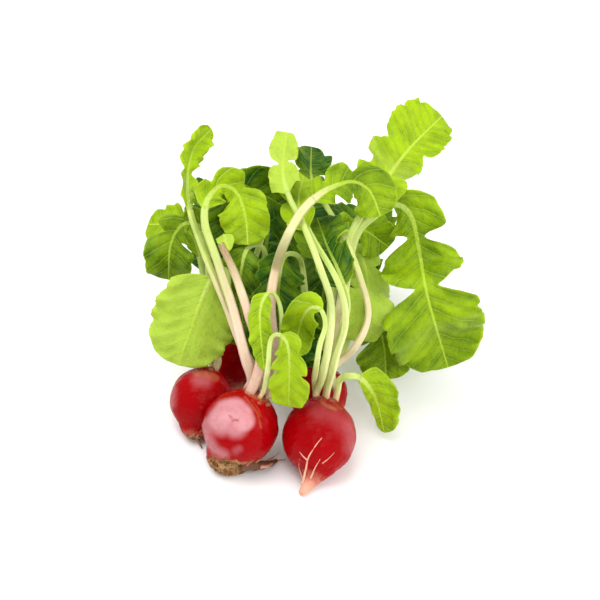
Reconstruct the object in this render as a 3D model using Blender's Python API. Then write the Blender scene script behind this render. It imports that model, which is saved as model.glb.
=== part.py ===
"""A bunch of five round radishes with their leaves, lying on a table.

Each radish is a root with leaf stalks that rise from its crown, and each leaf is a blade whose side lobes
are cut down to the rib. Lengths are in millimetres here, and the meshes are scaled to metres at the end.
The origin is the middle of the bunch's box on the table top, +Z is up and the leaves run towards +Y.
"""

import math
import random

import bmesh
import bpy
import numpy as np
from mathutils import Matrix

MM = 0.001
GAP = 0.35  # between pieces that touch
REST_CUT = 0.5  # depth of the flat spot that a root rests on
BLADE_THICK = 1.0
STALK_FLATTEN = 0.8  # a stalk's height over its width
SEED = "bunch"

ACROSS = (-1.0, -0.62, -0.26, 0.26, 0.62, 1.0)  # a blade's points from one edge to the other
STALK_ACROSS = (-1.0, -0.42, 0.42, 1.0)
TOOTH = 10.0  # between the crests of the teeth along a blade's edge
TOOTH_DEPTH = 0.11
WAVE_LENGTH = 26.0  # of the waves along a blade's edge
CRUMPLE_LENGTH = 19.0  # of the swells all over a blade
LOBE_PEAK = 0.38  # where along the end lobe it is widest
NOTCH_WIDTH = 0.17
BLADE_BASE = 0.10  # share of the blade's length over which it widens from the rib
TIP_POWER = 0.7  # how pointed the end lobe is
FOOT_WIDTH, FOOT_LENGTH = 0.55, 14.0  # a stalk's width at the crown over its own, and how soon it is full
BLADE_TAPER, TAPER_POWER = 0.78, 0.6  # how much of its width the rib loses along the blade, and how soon
EDGE_WAVE_POWER = 1.4  # how far out towards the edge the waves stay
RIB_SWELL = 0.25  # of a blade's swell that its rib follows

# The leaves are laid one over the other as seen from the eye, in a grid of what is nearest at each place.
CELL = 1.0
SEEN_LEFT, SEEN_LOW, SEEN_WIDE, SEEN_TALL = -110.0, -60.0, 220, 260
FINER = 4
CLEAR = 0.9  # between a leaf and what it lies on
TABLE_CLEAR = 0.4
OWN_ROOT_FROM = 22.0  # how far from its crown a leaf's stalk can meet its own root again
FREE_FROM, FREE_RISE = 7.0, 0.8  # a stalk's foot keeps its place, and further up it gives way more and more
SHIFT_REACH = 9.0  # along the rib, over which a shift is spread
CROWN_REACH = 0.85  # of the crown's radius, where the stalks stand
STALK_ROOM = 0.8
SPREAD_PASSES = 90
NEAR_EVERY = 12  # passes between two looks for what is near
NEAR_REACH = 12.0
STEM_REACH = 8.0
PUSH_SHARE = 0.7  # of the way clear that a stalk moves in one pass
FOOT_HELD, TOP_HELD = 1.0, 2.0  # how much of a stalk keeps its place, at the crown and at the blade
HELD_EASE = 6.0  # over which it gives way
FACE_PASSES = 60
BEND_ROWS, BEND_SPAN = 48, 7
BEND_ROOM = 0.72  # a blade's reach on the inside of a bend, over the distance at which it would meet itself

# The bunch is laid out as it is seen from a point in front of it and above it.
LOOK_DOWN = math.radians(38)
LOOK_FROM = 900.0
RIGHT = np.array([1.0, 0.0, 0.0])
AWAY = np.array([0.0, math.cos(LOOK_DOWN), -math.sin(LOOK_DOWN)])
UPWARD = np.array([0.0, math.sin(LOOK_DOWN), math.cos(LOOK_DOWN)])
FIRST_GLOBE = np.array([0.0, 0.0, 18.0])
AIM_ACROSS, AIM_UP = -9.5, 66.0
AIM = FIRST_GLOBE + AIM_ACROSS * RIGHT + AIM_UP * UPWARD
EYE = AIM - LOOK_FROM * AWAY

# A root's outline: distance from the globe's centre towards the tip, and radius, over the globe's radius.
ROUND_ROOT = ((-1.02, 0.36), (-0.96, 0.45), (-0.82, 0.62), (-0.58, 0.84), (-0.25, 0.98),
              (0.08, 1.0), (0.40, 0.93), (0.66, 0.77), (0.86, 0.58), (1.04, 0.39),
              (1.22, 0.24), (1.46, 0.14), (1.70, 0.08))
STUB_ROOT = ((-1.02, 0.34), (-0.96, 0.44), (-0.82, 0.62), (-0.58, 0.84), (-0.25, 0.98),
             (0.08, 1.0), (0.40, 0.93), (0.66, 0.76), (0.84, 0.57), (0.96, 0.47),
             (1.08, 0.40), (1.17, 0.28), (1.26, 0.13))
ROOT_SIDES = 16

# name: (across, up, height) of the globe's centre, radius, axis towards the crown, outline, bend of the tail
ROOTS = {
    "back": ((-41, 39, 16), 14.5, (-0.05, 0.62, 0.78), ROUND_ROOT, (2, -2, 9)),
    "left": ((-57.8, 18, 17), 15.9, (0.20, 0.72, 0.60), STUB_ROOT, (1, 0, 0)),
    "middle": ((-0.5, 20.5, 15), 14.5, (0.06, 0.72, 0.69), ROUND_ROOT, (-3, -1, 7)),
    "front_left": ((-38.7, 3.4, 21.5), 18.3, (0.42, 0.36, 0.78), STUB_ROOT, (60, -2, 0)),
    "front_right": ((0, 0, 19), 18.0, (0.16, 0.77, 0.62), ROUND_ROOT, (-5, -1, 5)),
}


def leaf(root, path, blade=0.5, half=14, pairs=2, end=0.5, turn=(0, 0), stalk=1.9, side=0.6, depth=0.6,
         fold=0.25, cup=0.0, wave=2.2, crumple=0.7, sweep=0.4, skew=0.0):
    """One leaf. path: (across, up, height) of the points that its rib runs through after the crown.
    blade: share of the rib where the blade starts. half: half the blade's greatest width.
    pairs: notches a side. end: share of the blade at the last notch, where the end lobe starts.
    depth: how deep the notches are cut. side: the width at the blade's base over the greatest.
    turn: degrees that the face is turned away at the blade's base and tip. fold, cup, wave, crumple: how
    the halves fold up, bow, wave at the edge and swell all over. sweep: how the side veins lean towards
    the tip. skew: how much wider the left half is than the right."""
    return dict(root=root, path=path, blade=blade, half=half, pairs=pairs, end=end, turn=turn,
                stalk=stalk, side=side, depth=depth, fold=fold, cup=cup, wave=wave, crumple=crumple,
                sweep=sweep, skew=skew)


# The leaves from the one that lies furthest back to the one in front.
LEAVES = {
    "back_first": leaf("back", [(-44, 62, 34), (-50, 84, 44), (-51, 104, 48), (-47, 122, 42)],
                       0.30, 19, 3, 0.6, turn=(-20, 10), depth=0.35, side=0.8, crumple=1.2),
    "back_second": leaf("back", [(-35, 62, 34), (-28, 84, 44), (-25, 104, 48), (-27, 124, 42)],
                        0.26, 20, 3, 0.6, turn=(15, -10), depth=0.35, side=0.8, crumple=1.2),
    "back_third": leaf("middle", [(-4, 52, 34), (-8, 74, 44), (-8, 96, 48), (-5, 120, 42)],
                       0.26, 21, 3, 0.6, turn=(-10, 15), depth=0.35, side=0.8, crumple=1.2),
    "back_right": leaf("middle", [(6, 50, 33), (13, 72, 43), (17, 92, 46), (24, 110, 40)],
                       0.28, 18, 3, 0.55, turn=(12, -12), depth=0.35, side=0.8, crumple=1.2),
    "left_flag": leaf("left", [(-56, 44, 32), (-56, 69, 50), (-60, 92, 64), (-68, 102, 72), (-84, 103, 66)],
                      0.60, 12, 2, 0.5, turn=(40, 30), side=0.5),
    "left_upper": leaf("left", [(-55, 44, 34), (-54, 69, 52), (-55, 90, 68), (-59, 102, 75), (-67, 103, 73),
                                (-73, 93, 63), (-74, 76, 50)],
                       0.62, 13, 2, 0.5, turn=(10, 0), stalk=1.8),
    "dark_upper": leaf("back", [(-41, 66, 44), (-44, 92, 68), (-42, 109, 80), (-31, 118, 84),
                                (-17, 112, 78)],
                       0.40, 15, 2, 0.5, turn=(-15, 10), crumple=1.0),
    "dark_hanging": leaf("back", [(-38, 68, 47), (-29, 94, 70), (-26, 108, 80), (-32, 118, 86),
                                  (-41, 114, 84), (-45, 100, 73), (-44, 84, 62)],
                         0.64, 12, 0, 0.0, turn=(0, 0), stalk=1.5),
    "inner_left": leaf("back", [(-31, 60, 40), (-26, 80, 54), (-28, 92, 62), (-36, 90, 62), (-39, 68, 50),
                                (-35, 44, 36)],
                       0.54, 17, 2, 0.5, turn=(20, 30), stalk=1.4, wave=2.8, crumple=1.2, depth=0.4),
    "inner_right": leaf("middle", [(-6, 52, 40), (-7, 72, 56), (-10, 87, 63), (-18, 86, 62), (-20, 62, 50),
                                   (-15, 34, 34)],
                        0.52, 20, 2, 0.5, turn=(-20, 10), stalk=1.4, wave=2.8, crumple=1.2, depth=0.4),
    "right_low": leaf("middle", [(10, 39, 31), (16, 52, 38), (24, 57, 38), (31, 47, 26), (33, 27, 8)],
                      0.42, 15, 2, 0.5, turn=(10, 0), stalk=1.6, wave=2.6, crumple=1.0),
    "right_pale": leaf("middle", [(4, 50, 42), (8, 74, 60), (13, 87, 66), (21, 86, 65), (24, 68, 54),
                                  (21, 46, 38)],
                       0.54, 15, 2, 0.5, turn=(160, 180), stalk=1.5, wave=2.6, crumple=1.2),
    "right_mid": leaf("middle", [(4, 50, 46), (6, 74, 64), (11, 95, 78), (20, 101, 78), (34, 92, 66)],
                      0.58, 12, 2, 0.5, turn=(-10, 10), stalk=1.5, wave=2.4),
    "right_hanging": leaf("middle", [(10, 46, 38), (13, 73, 58), (18, 97, 74), (27, 107, 80), (37, 113, 82),
                                     (45, 107, 75), (49, 90, 60), (53, 68, 40), (63, 33, 5)],
                          0.51, 25, 2, 0.52, turn=(10, 0), stalk=1.9, side=0.62, depth=0.85, wave=1.8),
    "right_tall": leaf("middle", [(7, 47, 42), (11, 69, 56), (15, 97, 73), (28, 118, 84), (43, 139, 86),
                                  (60, 156, 82)],
                       0.50, 17.5, 2, 0.52, turn=(0, 0), stalk=2.0, side=0.8, depth=0.4, wave=1.8,
                       skew=0.2),
    "dark_top": leaf("front_right", [(6, 32, 40), (17, 42, 46), (24, 58, 56), (20, 77, 70), (12, 97, 84),
                                     (1, 116, 91), (-4, 126, 93), (-4, 141, 91)],
                     0.74, 11, 1, 0.4, turn=(25, 10), stalk=1.7),
    "small_upper": leaf("front_right", [(7, 40, 44), (14, 62, 58), (10, 79, 68), (4, 92, 76),
                                        (-1, 106, 76)],
                        0.56, 14, 1, 0.4, turn=(-25, 10), stalk=1.5, crumple=1.0),
    "curly_top": leaf("front_right", [(8, 38, 49), (13, 56, 61), (9, 75, 73), (-3, 96, 85), (-10, 112, 91),
                                      (-8, 127, 88)],
                      0.66, 13, 1, 0.4, turn=(-30, 30), stalk=1.6, wave=3.2),
    "pale_top": leaf("front_right", [(4, 42, 52), (6, 63, 65), (0, 83, 76), (-8, 103, 85), (-15, 117, 90),
                                     (-18, 130, 94), (-16, 148, 95)],
                     0.70, 8, 1, 0.42, turn=(170, 190), stalk=1.7, side=1.0, depth=0.75),
    "arched": leaf("front_left", [(-22, 39, 52), (-24, 64, 66), (-20, 86, 76), (-11, 106, 86),
                                  (-1, 117, 91), (8, 122, 91), (17, 124, 89), (25, 119, 84), (30, 107, 76)],
                   0.68, 13, 2, 0.5, turn=(0, 0), stalk=2.5, cup=0.15, fold=0.1),
    "left_round": leaf("left", [(-53, 46, 38), (-50, 62, 50), (-45, 73, 60), (-47, 81, 65), (-54, 74, 62),
                                (-63, 52, 46), (-69, 34, 30)],
                       0.57, 22, 0, 0.0, turn=(180, 180), stalk=1.9, wave=1.8, sweep=0.3, side=0.8),
    "left_tall": leaf("front_left", [(-38, 43, 46), (-46, 64, 56), (-56, 88, 70), (-63, 108, 80),
                                     (-65, 124, 88), (-62, 140, 95), (-53, 150, 99)],
                      0.66, 7.5, 1, 0.45, turn=(50, 30), stalk=2.2),
    "left_crown": leaf("front_left", [(-37, 41, 50), (-43, 64, 62), (-51, 88, 74), (-56, 103, 82),
                                      (-55, 115, 88), (-48, 122, 90), (-40, 118, 86), (-36, 106, 78),
                                      (-35, 93, 69)],
                       0.65, 13, 2, 0.5, turn=(10, 10), stalk=2.3),
    "snapped": leaf("front_left", [(-28.5, 38, 57), (-35, 60, 71), (-41.5, 79, 82), (-48, 93, 90)],
                    1.0, stalk=2.6),
    "front_blade": leaf("front_left", [(-19, 44, 58), (-19, 62, 68), (-24, 70, 73), (-29, 60, 70),
                                       (-27, 32, 50)],
                        0.60, 6, 0, 0.0, turn=(20, 20), stalk=1.2, wave=1.0, side=0.8),
    "front_pointed": leaf("front_right", [(0, 42, 53), (3, 54, 60), (0, 62, 64), (-6, 61, 63),
                                          (-10, 51, 57), (-12, 38, 50)],
                          0.60, 9, 0, 0.0, turn=(0, 10), stalk=1.3, wave=1.2, side=0.8),
    "front_small": leaf("front_left", [(-25, 34, 57), (-24, 46, 66), (-20, 49, 69), (-15, 42, 64),
                                       (-15, 14, 34)],
                        0.50, 10, 2, 0.5, turn=(10, 0), stalk=1.2, wave=1.6, side=0.7, depth=0.4),
    "front_right": leaf("front_right", [(10, 27, 38), (16, 29, 41), (22, 26, 36), (28, 17, 22), (32, 1, 5)],
                        0.36, 8, 0, 0.0, turn=(-10, 30), stalk=1.6, wave=1.2, side=0.8, skew=0.45),
}


def laid(across, up, height):
    """The place at this height above the table that shows at (across, up) from the first globe's centre."""
    ray = FIRST_GLOBE + across * RIGHT + up * UPWARD - EYE
    return EYE + ray * ((height - EYE[2]) / ray[2])


def unit(v):
    return v / np.linalg.norm(v, axis=-1, keepdims=True)


def across_part(v, axis):
    """What is left of v square to the unit vector axis."""
    return v - np.sum(v * axis, axis=-1, keepdims=True) * axis


def smooth_path(points, steps=24, passes=14):
    """A smooth curve through the points: places a millimetre or so apart, and their shares of its length."""
    p = np.array([2 * points[0] - points[1], *points, 2 * points[-1] - points[-2]])
    t = np.linspace(0, 1, steps, endpoint=False)[:, None]
    spans = []
    for a, b, c, d in zip(p, p[1:], p[2:], p[3:]):
        spans.append(0.5 * (2 * b + (c - a) * t + (2 * a - 5 * b + 4 * c - d) * t**2
                            + (3 * b - a - 3 * c + d) * t**3))
    line = np.vstack([*spans, points[-1:]])
    for _ in range(passes):
        line[1:-1] = 0.25 * line[:-2] + 0.5 * line[1:-1] + 0.25 * line[2:]
    return evenly(line)


def evenly(line):
    run = np.concatenate([[0], np.cumsum(np.linalg.norm(np.diff(line, axis=0), axis=1))])
    share = np.linspace(0, 1, int(run[-1]) + 2)
    return along(line, run / run[-1], share), share, run[-1]


def along(line, share, where):
    return np.column_stack([np.interp(where, share, line[:, i]) for i in range(3)])


def rings_about(centre, radius, axis, outline, bend):
    """A root's rings from crown to tip: sections square to a line that bends past the globe."""
    down = np.array([z for z, _ in outline]) * radius
    past = np.clip(down / radius - 0.8, 0, None)[:, None]
    line = centre - axis * down[:, None] + bend * past**2
    forward = unit(np.gradient(line, axis=0))
    first = unit(across_part(RIGHT, forward))
    second = np.cross(forward, first)
    angle = np.linspace(0, 2 * math.pi, ROOT_SIDES, endpoint=False)
    circle = np.cos(angle)[None, :, None] * first[:, None] + np.sin(angle)[None, :, None] * second[:, None]
    return line[:, None] + circle * (np.array([r for _, r in outline]) * radius)[:, None, None]


def rested_root(name):
    """The root's centre, radius, axis, outline and rings, its lowest points a little under the table top."""
    (across, up, height), radius, axis, outline, bend = ROOTS[name]
    centre, axis = laid(across, up, height), unit(np.array(axis))
    rings = rings_about(centre, radius, axis, outline, np.array(bend, float))
    rise = np.array([0, 0, -REST_CUT - rings[..., 2].min()])
    return centre + rise, radius, axis, outline, rings + rise


def crown_feet(root):
    """Where the stalks of this root stand: evenly round the crown, in the order in which they lean."""
    centre, radius, axis, outline, _ = RESTED[root]
    crown = centre - axis * outline[0][0] * radius + axis * 1.5 * GAP  # a tilted foot stays clear
    names = [n for n in LEAVES if LEAVES[n]["root"] == root]
    x = unit(across_part(RIGHT, axis))
    y = np.cross(axis, x)
    lean = [across_part(laid(*LEAVES[n]["path"][1]) - crown, axis) for n in names]
    bearing = {n: math.atan2(v @ y, v @ x) for n, v in zip(names, lean)}
    order = sorted(names, key=bearing.get)
    step = 2 * math.pi / len(order)

    def misfit(start):
        return sum(1 - math.cos(bearing[n] - start - step * i) for i, n in enumerate(order))

    start = min(np.linspace(0, 2 * math.pi, 120), key=misfit)
    reach = outline[0][1] * radius * CROWN_REACH
    places = {}
    for i, n in enumerate(order):
        out = x * math.cos(start + step * i) + y * math.sin(start + step * i)
        foot = crown + out * reach
        places[n] = [foot, foot + axis * 5 + out * 0.4]
    return places


def coarse_tooth(place):
    """How deep the edge is cut at this place, counted in teeth: 1 between two teeth and 0 at a crest."""
    return np.abs(place % 1 - 0.5) * 2


def half_widths(item, t, blade_length, rng, tooth=coarse_tooth):
    """How far the blade reaches from its rib on the left and on the right, at shares t of its length."""
    end, peak = item["end"], item["end"] + (1 - item["end"]) * LOBE_PEAK
    rise = np.clip(t / max(peak, 1e-6), 0, 1)
    widen = item["side"] + (1 - item["side"]) * rise * rise * (3 - 2 * rise)
    tip = np.sqrt(np.clip(1 - (np.clip(t - peak, 0, None) / (1 - peak)) ** 2, 0, 1)) ** TIP_POWER
    base = np.sqrt(np.clip(t / BLADE_BASE, 0, 1))
    reach = (item["half"] * widen * tip * base)[:, None] * [1 + item["skew"], 1 - item["skew"]]
    for k in range(item["pairs"]):
        for hand in (0, 1):
            centre = end * (k + 1 + rng.uniform(-0.12, 0.12)) / item["pairs"]
            notch = np.exp(-((t - centre) * item["pairs"] / (NOTCH_WIDTH * end)) ** 2)
            reach[:, hand] *= 1 - item["depth"] * notch * rng.uniform(0.85, 1.0)
    teeth = max(round(blade_length / TOOTH), 2)
    deep = np.array([[rng.uniform(0.3, 1.1) for _ in range(2)] for _ in range(teeth + 1)])
    place = np.clip(t * teeth, 0, teeth - 1e-6)
    cut = deep[np.round(place).astype(int)] * TOOTH_DEPTH
    return reach * (1 - cut * tooth(t * teeth)[:, None])


def crumple(rng, run, out):
    """Smooth swells over a blade, about 1 high, at places given along its rib and out from it."""
    total = 0.0
    for _ in range(5):
        turn = rng.uniform(0, 2 * math.pi)
        pitch = 2 * math.pi / (CRUMPLE_LENGTH * rng.uniform(0.7, 1.5))
        start = rng.uniform(0, 2 * math.pi)
        total = total + np.sin(pitch * (run * math.cos(turn) + out * math.sin(turn)) + start)
    return total / 2


def stalk_shares(item):
    return np.linspace(0, item["blade"], 11 if len(item["path"]) > 4 else 7)


def blade_shares(item, length):
    """The shares of the rib where the blade has a section: at the crest and the foot of each tooth."""
    teeth = max(round((1 - item["blade"]) * length / TOOTH), 2)
    t = np.linspace(0, 1, 2 * teeth + 1)
    t = np.insert(t, [1, len(t) - 1], [t[1] / 2, 1 - t[1] / 3])
    start = item["blade"] + GAP / length
    return start + (1 - start) * t


def stalk_radius(item, where, length):
    """Half the stalk's width: slim where it joins the crown, widest above it, slim again along the blade."""
    t = np.clip((where - item["blade"]) / max(1 - item["blade"], 1e-6), 0, 1)
    foot = FOOT_WIDTH + (1 - FOOT_WIDTH) * np.clip(where * length / FOOT_LENGTH, 0, 1)
    return item["stalk"] * foot * (1.15 - 0.5 * where) * (1 - BLADE_TAPER * t**TAPER_POWER)


def frames(item, line):
    """The rib's direction and the way that the leaf faces, at each point of its line."""
    forward = unit(np.gradient(line, axis=0))
    face = across_part(unit(EYE - line), forward)
    for _ in range(FACE_PASSES):
        face[1:-1] = 0.25 * face[:-2] + 0.5 * face[1:-1] + 0.25 * face[2:]
    return forward, unit(across_part(face, forward))


def facing(item, line, share, where):
    """The rib's place, direction, sideways direction and facing at shares `where`, and the blade's share."""
    rib = along(line, share, where)
    forward, face = (along(v, share, where) for v in frames(item, line))
    forward = unit(forward)
    face = unit(across_part(face, forward))
    t = np.clip((where - item["blade"]) / max(1 - item["blade"], 1e-6), 0, 1)
    lateral = np.cross(forward, face)
    turn = np.radians(item["turn"][0] + (item["turn"][1] - item["turn"][0]) * t)[:, None]
    cosine, sine = np.cos(turn), np.sin(turn)
    return rib, forward, lateral * cosine - face * sine, face * cosine + lateral * sine, t


def bend_limits(item, line, share, where):
    """How far the blade can reach left and right, at shares `where`, before it meets itself in a bend."""
    rows = np.linspace(item["blade"], 1, BEND_ROWS)
    rib, forward, lateral, _, t = facing(item, line, share, rows)
    lean = item["sweep"] * np.clip(1 - t, 0, 1)[:, None] * forward
    order = np.arange(BEND_ROWS)
    close = np.abs(order[:, None] - order[None]) <= BEND_SPAN
    ahead = np.einsum("kmi,ki->km", rib[None] - rib[:, None], forward)
    limits = []
    for side in (-1, 1):
        run = side * lateral + lean
        closing = -np.einsum("kmi,ki->km", run[None] - run[:, None], forward)
        meets = close & (ahead * closing > 0) & ((order[None] - order[:, None]) * ahead > 0)
        meet = np.where(meets, ahead / np.where(meets, closing, 1), 10 * item["half"])
        room = BEND_ROOM * meet.min(axis=1)
        room = np.convolve(np.pad(room, 2, mode="edge"), [0.1, 0.2, 0.4, 0.2, 0.1], "valid")
        limits.append(np.interp(where, rows, room))
    return np.stack(limits, 1)


def leaf_surface(item, line, share, length, where, across, rng, tooth=coarse_tooth):
    """The leaf's middle surface at shares `where` of its rib and at fractions `across` from edge to edge:
    points, face normals, half the thickness there and how far out from the rib each point is."""
    rib, forward, lateral, face, t = facing(item, line, share, where)
    radius = stalk_radius(item, where, length)
    reach = np.zeros((len(t), 2))
    if item["blade"] < 1:
        reach = half_widths(item, t, (1 - item["blade"]) * length, rng, tooth)
        reach = np.minimum(reach, bend_limits(item, line, share, where))
    phase = [rng.uniform(0, 2 * math.pi) for _ in range(2)]
    tilt = [rng.uniform(-0.25, 0.25) for _ in range(2)]
    swells = rng.random()
    points, thick, out = [], [], []
    for v in across:
        hand = int(v > 0)
        wide = np.maximum(reach[:, hand], radius)
        y = abs(v) * wide
        span = np.clip(wide / max(item["half"], 1) - 0.1, 0, 1)
        run = where * length
        wave = np.sin(run * 2 * math.pi / WAVE_LENGTH + phase[hand])
        wave *= item["wave"] * span * abs(v) ** EDGE_WAVE_POWER
        rough = crumple(random.Random(swells), run, math.copysign(1, v) * y)
        swell = RIB_SWELL + (1 - RIB_SWELL) * abs(v)
        wave += item["crumple"] * span * swell * np.clip(y / 3, 0, 1) * rough
        lift = (item["fold"] + tilt[hand]) * span * y - item["cup"] * y**2 / item["half"] + wave
        ahead_by = item["sweep"] * y * np.clip(1 - t, 0, 1) * span
        points.append(rib + lateral * (math.copysign(1, v) * y)[:, None] + face * lift[:, None]
                      + forward * ahead_by[:, None])
        bulge = np.sqrt(np.clip(1 - (y / radius) ** 2, 0, 1))
        half_rib = np.maximum(radius * STALK_FLATTEN, BLADE_THICK / 2)
        thick.append(BLADE_THICK / 2 + (half_rib - BLADE_THICK / 2) * bulge)
        out.append(math.copysign(1, v) * y)
    return np.stack(points, 1), face, np.stack(thick, 1), np.stack(out, 1)


def seen(points):
    """(across, up, distance) of points as they show from the eye."""
    ray = points - EYE
    far = ray @ AWAY
    scale = LOOK_FROM / far
    return ray @ RIGHT * scale + AIM_ACROSS, ray @ UPWARD * scale + AIM_UP, far


def cells(points):
    across, up, far = seen(points)
    i = np.clip(((across - SEEN_LEFT) / CELL).astype(int), 1, SEEN_WIDE - 2)
    j = np.clip(((up - SEEN_LOW) / CELL).astype(int), 1, SEEN_TALL - 2)
    return i, j, far


def denser(grid, times=FINER):
    """The grid of points with more rows and columns, on the straight lines between them."""
    for axis in (0, 1):
        n = grid.shape[axis]
        where = np.linspace(0, n - 1, (n - 1) * times + 1)
        low = np.clip(where.astype(int), 0, n - 2)
        part = where - low
        shape = [1] * grid.ndim
        shape[axis] = -1
        part = part.reshape(shape)
        grid = np.take(grid, low, axis) * (1 - part) + np.take(grid, low + 1, axis) * part
    return grid


def table_distance():
    """The grid before anything is laid: how far the table top is."""
    across, up = np.meshgrid(SEEN_LEFT + (np.arange(SEEN_WIDE) + 0.5) * CELL,
                             SEEN_LOW + (np.arange(SEEN_TALL) + 0.5) * CELL, indexing="ij")
    ray = FIRST_GLOBE + across[..., None] * RIGHT + up[..., None] * UPWARD - EYE
    far = LOOK_FROM * (TABLE_CLEAR - EYE[2]) / ray[..., 2]
    return np.where(ray[..., 2] < 0, far, np.inf)


def lay_down(near, points, half_thick):
    """Marks a piece in the grid."""
    i, j, far = cells(denser(points).reshape(-1, 3))
    far = far - denser(half_thick[..., None]).reshape(-1)
    np.minimum.at(near, (i, j), far)


def needed_shift(near, points, half_thick):
    """How far each row of points has to come towards the eye to lie in front of what is laid."""
    fine = denser(points)
    i, j, far = cells(fine.reshape(-1, 3))
    behind = np.full(len(i), np.inf)
    for di in (-1, 0, 1):
        for dj in (-1, 0, 1):
            behind = np.minimum(behind, near[i + di, j + dj])
    thick = denser(half_thick[..., None]).reshape(-1)
    short = np.clip(far + thick + CLEAR - behind, 0, None).reshape(fine.shape[:2]).max(axis=1)
    return np.array([short[max(k - FINER, 0):k + FINER + 1].max() for k in range(0, len(short), FINER)])


def shifted(line, share, length, where, shift, spread):
    """The rib's line with each place brought towards the eye, nothing at the foot and smoothly along it."""
    free = np.clip((share * length - FREE_FROM) * FREE_RISE, 0, None)
    need = np.interp(share, where, shift)
    need = np.minimum(need, free)
    reach = max(int(len(share) * spread / length), 1)
    wide = np.array([need[max(k - reach, 0):k + reach + 1].max() for k in range(len(need))])
    wide = np.minimum(wide, free)
    kernel = np.hanning(2 * reach + 3)[1:-1]
    padded = np.pad(wide, reach, mode="edge")
    soft = np.convolve(padded, kernel / kernel.sum(), mode="valid")[:len(share)]
    ray = line - EYE
    return line - ray * (soft / (ray @ AWAY))[:, None]


def lay_leaves():
    """Each leaf's rib line after it is laid over those behind it."""
    leaves = table_distance()
    roots = {}
    for root in ROOTS:
        rings = RESTED[root][4]
        roots[root] = np.full_like(leaves, np.inf)
        closed = np.concatenate([rings, rings[:, :1]], 1)
        lay_down(roots[root], closed, np.zeros(closed.shape[:2]))
    feet = {name: place for root in ROOTS for name, place in crown_feet(root).items()}
    fine = np.linspace(0, 1, 60)
    behind, placed = ["back", "left", "middle"], {}
    for name, item in LEAVES.items():
        own = item["root"]
        if own not in behind:
            behind.append(own)
        near = np.minimum.reduce([leaves] + [roots[r] for r in behind if r != own])
        line, share, length = smooth_path(np.array(feet[name] + [laid(*p) for p in item["path"]]))
        for _ in range(3):
            rng = random.Random(SEED + name)
            surface, _, thick, _ = leaf_surface(item, line, share, length, fine, ACROSS, rng)
            shift = needed_shift(near, surface, thick)
            own_shift = needed_shift(roots[own], surface, thick)
            shift = np.maximum(shift, np.where(fine * length > OWN_ROOT_FROM, own_shift, 0))
            stalk = np.full_like(leaves, np.inf)
            part = fine < item["blade"] - 0.06
            lay_down(stalk, surface[part], thick[part])
            own_shift = needed_shift(stalk, surface, thick)
            shift = np.maximum(shift, np.where(fine > item["blade"] + 0.06, own_shift, 0))
            line = shifted(line, share, length, fine, shift, SHIFT_REACH)
        rng = random.Random(SEED + name)
        surface, _, thick, _ = leaf_surface(item, line, share, length, fine, ACROSS, rng)
        lay_down(leaves, surface, thick)
        placed[name] = (line, share, length)
    return placed


def apart(points, others, room):
    """How each point moves to stand `room` clear of the nearest of the others."""
    gap = points[:, None] - others[None]
    far = np.linalg.norm(gap, axis=2)
    short = room - far
    k = np.argmax(short, axis=1)
    rows = np.arange(len(points))
    push = np.clip(short[rows, k], 0, None)
    return gap[rows, k] * (push / np.maximum(far[rows, k], 1e-6))[:, None]


def off_root(points, radius, root):
    """How each point moves to stand clear of the root's skin."""
    centre, size, axis, outline, _ = RESTED[root]
    from_centre = points - centre
    down = -(from_centre @ axis) / size
    out = from_centre + (down * size)[:, None] * axis
    far = np.linalg.norm(out, axis=1)
    skin_at = np.interp(down, [z for z, _ in outline], [r for _, r in outline]) * size
    need = np.where((down > outline[0][0]) & (down < 1.2), skin_at + radius + 1.5 * STALK_ROOM - far, 0)
    return out * (np.clip(need, 0, None) / np.maximum(far, 1e-6))[:, None]


def near_points(here, others, reach):
    """Those of the others that lie within reach of one of these points."""
    if not len(others):
        return others
    inside = np.all((others > here.min(axis=0) - reach) & (others < here.max(axis=0) + reach), axis=1)
    others = others[inside]
    far = np.linalg.norm(others[:, None] - here[None, ::4], axis=2).min(axis=1, initial=np.inf)
    return others[far < reach]


def loose_part(item, share, length):
    """How freely each place of a leaf's rib moves: only between the crown and the blade."""
    run = share * length
    free = np.clip((run - FOOT_HELD) / HELD_EASE, 0, 1)
    if item["blade"] < 1:
        free *= np.clip((item["blade"] * length - TOP_HELD - run) / HELD_EASE, 0, 1)
    return free


def blade_cloud(name, line, share, length):
    """Points all over a leaf's blade."""
    item = LEAVES[name]
    if item["blade"] == 1:
        return np.empty((0, 3))
    fine = np.linspace(item["blade"] + 0.02, 1, 50)
    grid = leaf_surface(item, line, share, length, fine, ACROSS, random.Random(SEED + name))[0]
    return denser(grid, 2).reshape(-1, 3)


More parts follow.
